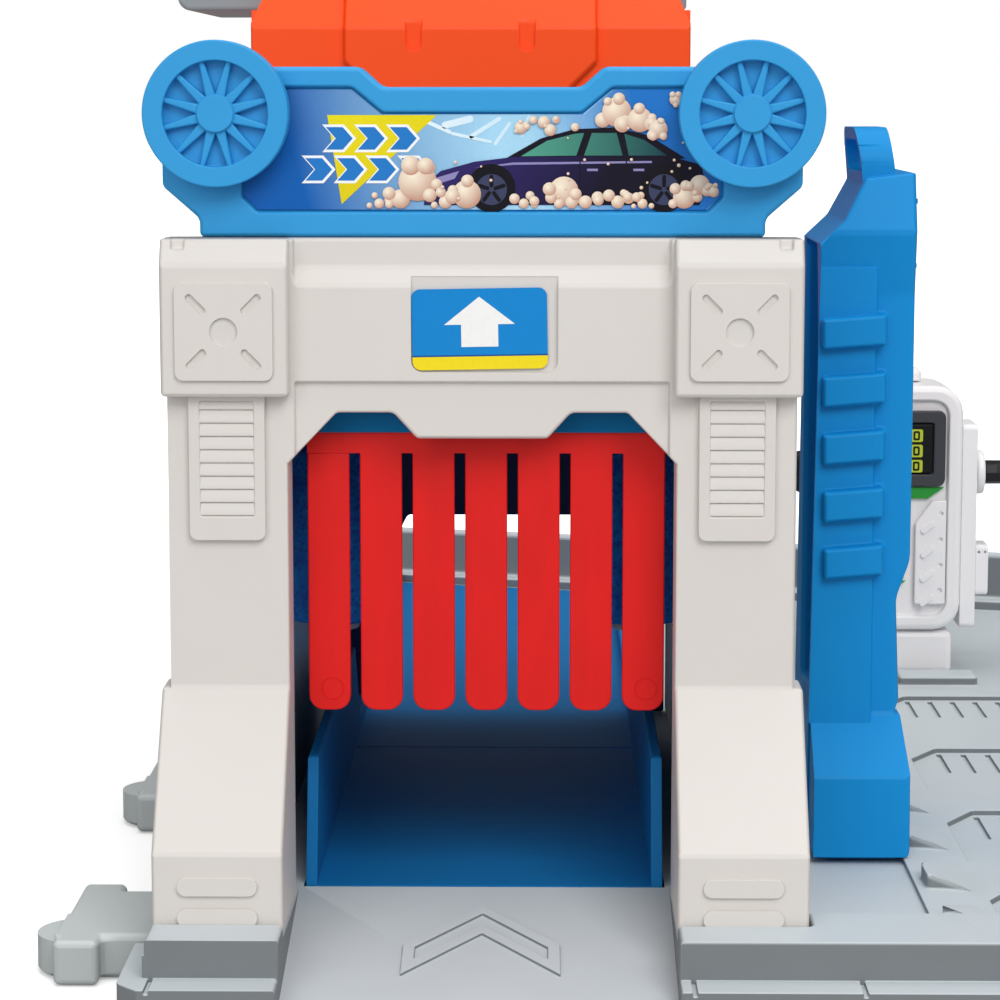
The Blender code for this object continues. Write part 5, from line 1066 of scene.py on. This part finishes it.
@dataclass
class SignLooks:
    """Sign board with a raised frame, its print and the two spoked discs."""

    foot: float = 97.04
    face: float = -9.0
    back: float = -4.0
    wheel_x: tuple[float, float] = (-34.2, 34.7)
    wheel_z: float = 113.0
    wheel_radius: float = 9.4
    ring_inner: float = 6.8
    hub_radius: float = 2.15
    spokes: int = 12
    ink_depth: float = 0.58
    ink_thickness: float = 0.03
    seed: int = 7

    def outline(self) -> list[Flat]:
        """Return the board's outline."""
        return mirrored([(12.9, 116.4), (15.8, 119.0), (38.0, 119.0), (41.6, 112.3), (41.6, 103.6),
                         (36.8, 99.4), (36.8, self.foot)])

    def field_outline(self, t: float = 0.0) -> list[Flat]:
        """Return the sunk field's outline, drawn in by an inset."""
        return mirrored([(12.9 + t * 0.4, 113.2 - t), (16.8 + t * 0.4, 116.4 - t), (31.3 - t, 116.4 - t),
                         (31.3 - t, 102.3 + t * 0.4), (29.3 - t * 0.4, 100.3 + t)])

    def board(self) -> None:
        """Blue frame round the sunk print."""
        board = Bench.plate("sign_frame", self.outline(), Axis.Y, (self.face, self.back))
        pocket = Bench.plate("pocket", self.field_outline(), Axis.Y, (self.face - OVERRUN, self.face + 1.0))
        Bench.soften(Bench.carve(board, pocket), 0.65, 4)
        dress(Bench.smooth(board), SIGN_ABS, ["sign_board"])

    def wheel(self, side: int) -> None:
        """Disc with a rim, tapered spokes and a domed hub."""
        x = self.wheel_x[0 if side < 0 else 1]
        z = self.wheel_z
        back = self.face - 0.3
        suffix = "left" if side < 0 else "right"
        disc = Bench.rod("disc", (x, back - 1.9, z), self.wheel_radius, 3.8, Axis.Y, 96)
        well = Bench.rod("well", (x, back - 3.6, z), self.ring_inner, 3.6, Axis.Y, 96)
        parts = [Bench.soften(Bench.carve(disc, well), 0.75, 4, 40.0)]
        right = [(x + 1.6, 0.72), (x + 3.2, 0.60), (x + 7.1, 0.34)]
        blade = [(u, z - half) for u, half in right] + [(u, z + half) for u, half in reversed(right)]
        for index in range(self.spokes):
            spoke = Bench.soften(Bench.plate("spoke", blade, Axis.Y, (back - 3.1, back - 1.4)), 0.32, 3, 50.0)
            parts.append(Bench.turn(spoke, 360.0 / self.spokes * (index + 0.5), Axis.Y, (x, back, z)))
        for name, depth, radius, tall, tip, width in (
                ("root", 2.2, self.hub_radius + 0.35, 2.0, self.hub_radius + 0.6, 0.4),
                ("hub", 2.6, self.hub_radius * 1.1, 2.2, self.hub_radius, 0.45)):
            cone = Bench.rod(name, (x, back - depth, z), radius, tall, Axis.Y, 48, tip)
            parts.append(Bench.soften(cone, width, 3, 40.0))
        wheel = Bench.gather("wheel_disc_" + suffix, parts)
        dress(Bench.smooth(wheel), SIGN_ABS, ["sign_wheel_" + suffix])

    def build(self) -> None:
        """Assemble the sign."""
        self.board()
        for side in (-1, 1):
            self.wheel(side)
        self.print()

    def area(self, outline: list[Flat], ink: Finish, depth: float) -> Piece:
        """One printed area, a hair in front of what lies under it."""
        front = self.face + self.ink_depth - depth
        return film(outline, ink, front, front + self.ink_thickness)

    def print(self) -> None:
        """Generic wash print: fading sky, a plain saloon pictogram, foam bubbles and a yellow flash."""
        sky = PrintedFilm("sky_ink", "#005CAE", "#A6D6F0", (-23.0, 0.0, 102.0), (2.0, 0.0, 109.0))
        dusk = PrintedFilm("dusk_ink", "#A6D6F0", "#1E74C6", (6.0, 0.0, 109.0), (20.0, 0.0, 112.0))
        water = PrintedFilm("water_ink", "#E4F3FB", "#C3E3F5", (-8.0, 0.0, 112.0), (8.0, 0.0, 108.0))
        yellow = PrintedFilm("yellow_ink", "#EBDD12", "#DDC80E", (-22.0, 0.0, 114.0), (-18.0, 0.0, 100.0))
        evening = [(4.0, 100.6), (29.1, 100.6), (31.0, 102.4), (31.0, 116.1), (17.0, 116.1), (13.2, 112.9),
                   (4.0, 112.9)]
        parts = [film(self.field_outline(0.3), sky, self.face + 0.6, self.face + 0.95),
                 self.area(evening, dusk, 0.01)]
        for x, z, long, tall, lean in (
                (-6.4, 111.6, 5.2, 0.5, -24), (-3.2, 111.9, 4.2, 0.9, 14), (0.4, 111.2, 4.8, 0.55, 32),
                (2.6, 110.4, 3.6, 0.45, 55), (-1.4, 109.9, 5.4, 0.4, -12), (5.6, 111.4, 3.0, 0.5, 68)):
            stroke = self.area(Bench.pad((x, z), long, tall, tall * 0.45), water, 0.02)
            parts.append(Bench.turn(stroke, -lean, Axis.Y, (x, 0.0, z)))
        parts.append(self.area([(-20.1, 112.8), (-5.9, 112.8), (-18.3, 101.3)], yellow, 0.03))
        self.chevrons(parts)
        self.saloon(parts)
        self.bubbles(parts)
        dress(Bench.gather("sign_print", parts), None, ["sign_sheet"])

    def chevrons(self, parts: list[Piece]) -> None:
        """Two rows of plain slanted chevrons, each blue on a white one that shows round it."""
        white = PrintedFilm("white_ink", "#F2F5F7")
        blue = PrintedFilm("chevron_ink", "#2077C4")
        for x, z, count in ((-20.3, 109.8, 3), (-23.0, 105.8, 4)):
            for grow, ink, depth in ((0.34, white, 0.05), (0.0, blue, 0.07)):
                for index in range(count):
                    u = x + index * 4.15
                    shape = [(u - grow * 1.4, z - 1.45 - grow), (u + 2.2 + grow * 0.5, z - 1.45 - grow),
                             (u + 3.5 + grow * 1.3, z), (u + 2.2 + grow * 0.5, z + 1.45 + grow),
                             (u - grow * 1.4, z + 1.45 + grow), (u + 1.3 - grow * 0.5, z)]
                    parts.append(self.area(shape, ink, depth))

    def saloon(self, parts: list[Piece]) -> None:
        """Plain side view of a saloon car in dark ink."""
        navy = PrintedFilm("navy_ink", "#2B2060", "#100C22", (2.0, 0.0, 108.0), (14.0, 0.0, 101.0))
        roof = PrintedFilm("roof_ink", "#0F0C1E")
        glass = PrintedFilm("glass_ink", "#4E9C86", "#123A48", (6.0, 0.0, 108.0), (24.0, 0.0, 107.0))
        dark = PrintedFilm("tyre_ink", "#0B0A16")
        rim = PrintedFilm("rim_ink", "#3A3F5E")
        glint = PrintedFilm("glint_ink", "#8C86B8")
        for ink, depth, outline in (
                (roof, 0.08, [(3.0, 107.2), (7.6, 109.8), (12.0, 111.0), (17.0, 111.2), (21.6, 110.2),
                              (26.4, 107.2)]),
                (navy, 0.09, [(-7.6, 101.2), (-7.2, 104.0), (-5.4, 105.6), (-1.0, 106.8), (4.0, 107.4),
                              (24.0, 107.6), (28.4, 106.4), (29.0, 103.6), (28.2, 101.2)]),
                (glass, 0.11, [(5.0, 107.5), (8.4, 109.5), (12.0, 110.4), (13.2, 110.5), (12.2, 107.6)]),
                (glass, 0.11, [(13.2, 107.6), (14.2, 110.5), (17.4, 110.5), (18.2, 107.6)]),
                (glass, 0.11, [(19.0, 107.6), (18.4, 110.4), (21.0, 109.6), (24.0, 107.6)]),
                (glint, 0.10, [(-6.4, 104.6), (-3.0, 105.6), (-3.6, 104.6), (-6.2, 103.8)]),
                (glint, 0.10, [(-1.0, 106.0), (4.0, 106.7), (22.0, 106.9), (22.0, 106.65), (4.0, 106.4)])):
            parts.append(self.area(outline, ink, depth))
        for x in (12.6, 18.6):
            for ink, left, right, low, high in ((roof, 0.0, 0.16, 102.2, 107.0),
                                                (glint, 1.0, 2.4, 105.6, 105.9)):
                line = [(x + left, low), (x + right, low), (x + right, high), (x + left, high)]
                parts.append(self.area(line, ink, 0.10))
        for x in (1.2, 23.6):
            parts.append(self.area(Bench.ring(3.1, (x, 103.4), 40), dark, 0.12))
            parts.append(self.area(Bench.ring(2.0, (x, 103.2), 32), rim, 0.14))
            for turn in range(5):
                blade = self.area(Bench.pad((x, 104.3), 0.5, 1.6, 0.2, 3), dark, 0.15)
                parts.append(Bench.turn(blade, turn * 72.0, Axis.Y, (x, 0.0, 103.2)))

    def bubbles(self, parts: list[Piece]) -> None:
        """Foam bubbles in heaps along the foot and over the roof of the pictogram."""
        dice = random.Random(self.seed)
        ink = BubbleInk("foam_ink", "#F6EAD4", "#C08F7A")
        heaps = [(-13.4, 101.4, 1.3), (-10.6, 102.0, 1.7), (-8.4, 104.2, 2.5), (-4.8, 101.6, 1.5),
                 (-2.0, 102.6, 1.9), (5.4, 101.4, 1.4), (10.6, 103.0, 1.9), (13.4, 101.6, 1.7),
                 (17.6, 101.6, 1.5), (20.8, 101.4, 1.2), (26.2, 102.2, 1.7), (28.2, 103.8, 1.3),
                 (30.0, 102.9, 1.0), (5.0, 111.2, 0.8), (8.0, 111.9, 1.4), (11.2, 112.6, 1.7),
                 (14.2, 113.6, 2.1), (17.4, 113.2, 1.9), (20.4, 112.2, 1.6), (22.8, 111.0, 1.2),
                 (25.0, 114.8, 0.8)]
        spots = []
        for x, z, radius in heaps:
            spots.append((x, z, radius))
            for index in range(5):
                lean = dice.uniform(0.0, 2.0 * math.pi)
                size = radius * dice.uniform(0.28, 0.55)
                spots.append((x + radius * math.cos(lean), z + radius * 0.9 * math.sin(lean), size))
        for depth, (x, z, radius) in enumerate(spots):
            roof = 115.9 if abs(x) > 16.5 else 112.7 if abs(x) < 13.4 else 112.7 + (abs(x) - 13.4)
            radius = min(radius, roof - z, z - 100.75, 30.7 - abs(x))
            if radius > 0.22:
                parts.append(self.bubble(x, z, radius, 0.17 + 0.0015 * depth, ink))
        for index in range(26):
            x = dice.uniform(-10.0, 28.0)
            z = dice.uniform(102.0, 112.0)
            parts.append(self.bubble(x, z, dice.uniform(0.12, 0.26), 0.36, ink))

    def bubble(self, x: float, z: float, radius: float, depth: float, ink: BubbleInk) -> Piece:
        """One bubble as a fan whose tone falls from its lit side to its rim."""
        face = (self.face + 0.58 - depth) * MM
        deselect()
        bpy.ops.mesh.primitive_circle_add(vertices=22, radius=radius * MM, fill_type="TRIFAN",
                                          location=(x * MM, face, z * MM), rotation=(math.pi / 2, 0.0, 0.0))
        disc = Bench.settle(bpy.context.object, "bubble")
        tone = disc.data.attributes.new("tone", "FLOAT", "POINT")
        for vertex in disc.data.vertices:
            away = (vertex.co - Vector((x * MM, face, z * MM))) / (radius * MM)
            inner = away.length < 0.5
            tone.data[vertex.index].value = 1.0 if inner else max(0.0, 0.32 + 0.4 * away.z - 0.22 * away.x)
            if inner:
                vertex.co += Vector((-0.25, 0.0, 0.28)) * radius * MM
        disc.data.materials.append(ink.material())
        return disc


@dataclass
class CurtainLooks:
    """Soft red curtain: one header and seven strips that bend where they leave it."""

    plane: float = -4.0
    thickness: float = 0.8
    pitch: float = 7.0
    left: float = -23.4
    width: float = 5.6
    header_low: float = 68.2
    bottom: float = 33.4
    rows: int = 26
    marked: tuple[int, ...] = (1, 7)
    tip: float = 2.0
    overlap: float = 0.02
    bend_length: float = 9.0
    easing: float = 0.22

    def header(self) -> None:
        """Header strip of the moulding inside the beam's groove."""
        low, high = node_box("curtain_header")
        piece = Bench.block("curtain_band", (low.x, low.y, self.header_low), (high.x, high.y, high.z))
        with edit_mode(piece):
            bpy.ops.mesh.select_all(action="SELECT")
            bpy.ops.mesh.subdivide(number_cuts=6)
        dress(piece, CURTAIN_PVC, ["curtain_header"])

    def strip(self, number: int) -> None:
        """One strip with a rounded end and eased edges, cut across in rows so that it can bend."""
        left = self.left + (number - 1) * self.pitch
        right = left + self.width
        shoulder = self.bottom + self.tip
        top = self.header_low + self.overlap
        heights = [self.header_low + (shoulder - self.header_low) * row / self.rows
                   for row in range(1, self.rows)]
        outline = [(left, top), *((left, z) for z in heights),
                   *quarter((left + self.tip, shoulder), self.tip, math.pi, 6),
                   *quarter((right - self.tip, shoulder), self.tip, 1.5 * math.pi, 6),
                   *((right, z) for z in reversed(heights)), (right, top)]
        name = "soft_strip_%d" % number
        span = (self.plane - self.thickness / 2, self.plane + self.thickness / 2)
        strip = Bench.plate(name, outline, Axis.Y, span)
        Bench.rows(strip, heights)
        self.ease(strip)
        if number in self.marked:
            ring = self.mark((left + right) / 2 + 0.4, self.bottom + 3.0)
            strip = Bench.gather(name, [strip, ring])
        Bench.smooth(strip, 50.0)
        joint = next(j for j in FRAME["joints"] if j["child"] == "strip_%d" % number)
        hinge = joint["pos_m"]
        dress(strip, CURTAIN_PVC, ["curtain_strip_%d" % number], "")
        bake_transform(strip, BODY, "strip_%d" % number, start=(hinge[0], hinge[1], self.header_low * MM),
                 end=(hinge[0], hinge[1], (self.header_low - self.bend_length) * MM))

    def ease(self, strip: Piece) -> None:
        """Round the long edges and the end, but not the joint with the header."""
        activate(strip)
        for part in (strip.data.polygons, strip.data.edges, strip.data.vertices):
            part.foreach_set("select", [False] * len(part))
        with editing(strip) as mesh:
            for edge in mesh.edges:
                flat = abs((edge.verts[0].co - edge.verts[1].co).y) < 1e-7
                sharp = len(edge.link_faces) == 2 and edge.calc_face_angle(0.0) > math.radians(40)
                at_top = all(v.co.z > (self.header_low - 0.01) * MM for v in edge.verts)
                edge.select = flat and sharp and not at_top
        with edit_mode(strip):
            bpy.ops.mesh.select_mode(type="EDGE")
            bpy.ops.mesh.bevel(offset=self.easing * MM, segments=2, affect="EDGES", clamp_overlap=True)

    def mark(self, x: float, z: float) -> Piece:
        """Moulded ring left by the ejector pin."""
        deselect()
        place = (x * MM, (self.plane - self.thickness / 2) * MM, z * MM)
        bpy.ops.mesh.primitive_torus_add(location=place, rotation=(math.pi / 2, 0.0, 0.0), major_segments=36,
                                         minor_segments=6, major_radius=1.45 * MM, minor_radius=0.10 * MM)
        return Bench.settle(bpy.context.object, "mark")

    def build(self) -> None:
        """Hang the curtain."""
        # The rail's dark blue finish is painted shade
        softened("curtain_beam", "curtain_rail", BEAM_ABS_PAINTED_SHADE, 0.4)
        self.header()
        for number in range(1, 8):
            self.strip(number)


@dataclass
class RollerLooks:
    """Foam sleeves on their spindles."""

    sides: int = 72
    rows: int = 36
    seed: int = 3
    bore: float = 1.9
    skin: float = 0.25
    lumps: float = 0.16
    core: float = 3.0

    def sleeve(self, side: str) -> None:
        """Foam tube with a lumpy cut skin."""
        low, high = node_box("roller_sleeve_" + side)
        x, y, z = (low + high) / 2
        tall = high.z - low.z
        radius = (high.x - low.x) / 2 - self.skin
        tube = Bench.rod("foam_roller_" + side, (x, y, z), radius, tall, Axis.Z, self.sides)
        Bench.carve(tube, Bench.rod("bore", (x, y, z), self.bore, tall + OVERRUN, Axis.Z, 24))
        Bench.soften(tube, 1.0, 3, 40.0)
        Bench.rows(tube, [low.z + tall * row / self.rows for row in range(1, self.rows)])
        dice = random.Random(self.seed)
        for vertex in tube.data.vertices:
            away = Vector((vertex.co.x - x * MM, vertex.co.y - y * MM, 0.0))
            if away.length > self.core * MM:
                vertex.co += away.normalized() * dice.uniform(-self.lumps, self.lumps) * MM
        Bench.smooth(tube, 60.0)
        dress(tube, ROLLER_FOAM, ["roller_sleeve_" + side], "roller_" + side)

    def build(self) -> None:
        """Make both rollers."""
        for side in ("left", "right"):
            self.sleeve(side)
            softened("roller_spindle_" + side, "spindle_" + side, CLIP_ABS, 0.2,
                     "roller_" + side)


@dataclass
class Mouldings:
    """Pieces whose frame shape is right and needs soft edges, a finish and a few small features."""

    plan: tuple[tuple[str, str, MouldedPlastic, str, float, float], ...] = (
        ("base_plate", "base_moulding", BASE_ABS, "base_grey", 1.1, 25.0),
        ("connector_front", "clip_front", CLIP_ABS, "clip_grey", 0.7, 30.0),
        ("connector_rear", "clip_rear", CLIP_ABS, "clip_grey", 0.7, 30.0),
        ("wash_tray", "lane_tray", TRAY_ABS, "tray_blue", 0.45, 20.0),
        ("tunnel_wall_left", "side_wall_left", IVORY_ABS, "gate_ivory", 0.4, 25.0),
        ("tunnel_wall_right", "side_wall_right", IVORY_ABS, "gate_ivory", 0.4, 25.0),
        ("tunnel_roof", "roof_panel", PYLON_ABS, "beam_blue", 0.5, 25.0),
        ("rear_portal", "portal_panel", DEEP_ABS, "deep_blue", 0.5, 25.0),
        ("pylon", "pylon_moulding", PYLON_ABS, "pylon_blue", 0.85, 7.0),
        ("upper_housing", "storey_shell", ORANGE_ABS, "housing_orange", 0.7, 7.0),
        ("roof_deck", "deck_panel", DECK_ABS, "base_grey", 0.7, 25.0),
    )
    knob_top: float = 5.1
    clip_waist: float = -48.0
    clip_reach: float = 2.0
    side_shift: float = 0.7
    crease: float = 96.4
    crease_low: float = 87.6
    pylon_top: float = 104.6
    pylon_front: float = 20.0
    bulge: float = 1.6
    taper: float = 1.4
    lean: float = 1.6
    pylon_left: float = 45.8
    side_low: float = 27.0
    side_top: float = 96.0
    taper_length: float = 68.0
    pad_back: float = 24.5
    loop_low: float = 107.2
    loop_round: float = 1.7
    loop_rise: float = 6.2
    loop_shift: float = 0.9
    waist_x: float = 57.7
    foot_x: float = 59.7
    base_share: float = 0.30
    other_share: float = 0.42

    def build(self) -> None:
        """Make each soft-edged copy, with its own small features before its edges are eased."""
        shapers = {"base_plate": self.shape_base, "connector_front": self.shape_clip,
                   "connector_rear": self.shape_clip, "wash_tray": self.shape_tray, "pylon": self.shape_pylon}
        for node, name, finish, slot, width, angle in self.plan:
            twin = Bench.node_copy(node, name)
            if node in shapers:
                shapers[node](twin)
            Bench.soften(twin, width, 3, angle, self.base_share if node == "base_plate" else self.other_share)
            dress(Bench.smooth(twin, 40.0), finish, [node])

    def shape_base(self, base: Piece) -> None:
        """Bring the first kerb wedge down to the curb's top, where only its tip shows."""
        Bench.carve(base, Bench.block("trim", (58.9, -30.0, 10.0), (70.0, -20.05, 12.5)))

    def shape_clip(self, clip: Piece) -> None:
        """Lower the clip's round knob below its bar and draw the outer part further out."""
        Bench.carve(clip, Bench.block("trim", (-60.0, -30.0, self.knob_top), (-54.0, 100.0, 7.0)))
        for vertex in clip.data.vertices:
            if vertex.co.x < self.clip_waist * MM:
                vertex.co.x -= self.clip_reach * MM

    def shape_tray(self, tray: Piece) -> None:
        """Mark the joint line that crosses the lane's floor."""
        Bench.carve(tray, Bench.block("joint", (-22.85, 87.2, 7.55), (22.85, 87.8, 9.0)))

    def shape_pylon(self, pylon: Piece) -> None:
        """Round the loop, swell the front below the top and draw the sides in as the moulding tapers."""
        with editing(pylon) as mesh:
            front = [face for face in mesh.faces
                     if face.normal.y < -0.9 and min(v.co.y for v in face.verts) < 22 * MM]
            parts = {item for face in front for item in (face, *face.edges, *face.verts)}
            bmesh.ops.bisect_plane(mesh, geom=list(parts), dist=1e-7, plane_co=(0.0, 0.0, self.crease * MM),
                                   plane_no=(0.0, 0.0, 1.0))
            corners = [edge for edge in mesh.edges if all(v.co.z > self.loop_low * MM for v in edge.verts)
                       and abs((edge.verts[0].co - edge.verts[1].co).x) > 4.0 * MM
                       and (edge.verts[0].co.z > 110.0 * MM or not 23.5 < edge.verts[0].co.y / MM < 43.0)]
            bmesh.ops.bevel(mesh, geom=corners, offset=self.loop_round * MM, offset_type="OFFSET", segments=4,
                            profile=0.5, affect="EDGES", clamp_overlap=True)
            for vertex in mesh.verts:
                vertex.co = Vector(self.drawn(*(vertex.co / MM))) * MM

    def drawn(self, x: float, y: float, z: float) -> Point:
        """Return where a point of the pylon goes."""
        if x < self.pylon_left + 0.6 and self.side_low < z < self.side_top:
            taper = self.taper * (self.side_top - z) / self.taper_length if y < self.pad_back else 0.0
            x = min(x, self.pylon_left) + self.side_shift + taper
        if z > self.crease_low and 19.0 < y < 22.0:
            y = self.swell(z)
        if z > self.pylon_top + 0.05:
            x -= self.loop_shift * (z - self.pylon_top) / self.loop_rise
        if abs(x - self.waist_x) < 0.05 and 29.0 < z < 46.0:
            x += 1.0 if z < 37.0 else 0.4
        if abs(x - self.foot_x) < 0.05 and 27.0 < z < 29.0:
            x -= 0.8
        return x, y, z

    def swell(self, z: float) -> float:
        """Return the place of the pylon's front at a height above its lower crease."""
        if z < self.crease:
            return self.pylon_front - self.bulge * (z - self.crease_low) / (self.crease - self.crease_low)
        share = (z - self.crease) / (self.pylon_top - self.crease)
        return self.pylon_front - self.bulge + (self.bulge + self.lean) * min(1.0, share)


@dataclass
class PumpLooks:
    """Fuel pump with its face, hose and nozzle."""

    face: float = 144.5
    floor: float = 145.7
    panel_left: float = 76.3
    panel_right: float = 81.9
    panel_low: float = 22.4
    panel_top: float = 41.6
    dimples: tuple[float, float, float] = (39.2, 4.75, 0.42)
    ribs: Flat = (36.7, 4.5)
    rows: int = 4
    windows: tuple[float, ...] = (53.6, 50.8, 48.0)
    digits: int = 5
    digit_pitch: float = 1.75
    film_thickness: float = 0.03

    def build(self) -> None:
        """Dress the pump."""
        for node, name, finish, slot, width in (
                ("pump_foot", "pump_plinth", PUMP_ABS, "pump_white", 0.5),
                ("pump_body", "pump_case", PUMP_ABS, "pump_white", 0.6),
                ("pump_side_box", "pump_flank", PUMP_ABS, "pump_white", 0.6),
                ("pump_knob", "pump_button", PUMP_ABS, "pump_white", 0.4),
                ("pump_bezel", "pump_screen_frame", BEZEL_ABS, "bezel_grey", 0.35),
                ("pump_stripe", "pump_green_line", GREEN_FILM, "stripe_green", 0.1),
                ("pump_stripe_low", "pump_green_foot_line", GREEN_FILM, "stripe_green", 0.1),
                ("pump_hose_fitting", "pump_collar", PUMP_ABS, "pump_white", 0.6),
                ("pump_nozzle", "pump_grip", HOSE_PVC, "hose_black", 0.4),
                ("pump_hose", "pump_tube", HOSE_PVC, "hose_black", 0.15)):
            softened(node, name, finish, width)
        self.panel()
        self.cradle()
        self.display()

    def panel(self) -> None:
        """Raised panel with a cut corner, slanted ribs and screw dimples."""
        left, right, low, top = self.panel_left, self.panel_right, self.panel_low, self.panel_top
        outline = [(left, low), (right, low), (right, top), (left + 3.0, top), (left, top - 4.2)]
        plate = Bench.plate("plate", outline, Axis.Y, (self.face, self.floor))
        high, pitch, radius = self.dimples
        spots = [(right - 1.0, self.face, high - pitch * row) for row in range(self.rows)]
        Bench.carve(plate, *[Bench.rod("dimple", spot, radius, 1.0, Axis.Y, 18) for spot in spots])
        parts = [Bench.soften(plate, 0.30)]
        x = (left + right) / 2 - 0.6
        for row in range(self.rows):
            z = self.ribs[0] - self.ribs[1] * row
            shape = Bench.pad((x, z), 2.9, 1.0, 0.45)
            rib = Bench.plate("rib", shape, Axis.Y, (self.face - 0.45, self.face + 0.3))
            parts.append(Bench.turn(Bench.soften(rib, 0.30, 3, 45.0), -38.0, Axis.Y, (x, 0.0, z)))
        panel = Bench.gather("pump_front_panel", parts)
        dress(Bench.smooth(panel), PUMP_ABS, ["pump_panel"])

    def cradle(self) -> None:
        """Holster on the pump's flank, with two small holes near its top."""
        low, high = node_box("pump_holster")
        cradle = Bench.node_copy("pump_holster", "pump_cradle")
        middle = (low.x + high.x) / 2
        for x in (middle - 0.55, middle + 0.55):
            Bench.carve(cradle, Bench.rod("hole", (x, low.y, high.z - 1.3), 0.26, 1.6, Axis.Y, 14))
        Bench.soften(cradle, 0.45, 3, 40.0)
        dress(Bench.smooth(cradle), PUMP_ABS, ["pump_holster"])

    def display(self) -> None:
        """Black screen with three lit number windows."""
        low, high = node_box("pump_screen")
        pane = Bench.node_copy("pump_screen", "pane")
        Bench.soften(pane, 0.1, 2)
        pane.data.materials.clear()
        pane.data.materials.append(SCREEN_FILM.material())
        parts = [pane]
        left, right = low.x + 1.6, high.x - 1.7
        middle, wide = (left + right) / 2, right - low.x - 1.6
        for z in self.windows:
            shapes = [(Bench.pad((middle, z), wide, 2.3, 0.35), LCD_FILM, 0.02)]
            for place in range(self.digits):
                x = right - 1.15 - place * self.digit_pitch
                shapes += [(Bench.pad((x, z), 1.2, 1.7, 0.3), DIGIT_FILM, 0.05),
                           (Bench.pad((x, z), 0.5, 0.95, 0.12), LCD_FILM, 0.08)]
            parts += [film(shape, ink, low.y - lift, low.y - lift + self.film_thickness)
                      for shape, ink, lift in shapes]
        dress(Bench.gather("pump_display", parts), None, ["pump_screen"])


def main() -> None:
    """Build the studio and every dressed piece."""
    logging.basicConfig(level=logging.INFO, format="%(message)s")
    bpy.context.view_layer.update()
    for looks in (Studio, Mouldings, GateLooks, SignLooks, CurtainLooks, RollerLooks, PumpLooks):
        looks().build()


if __name__ == "__main__":
    main()
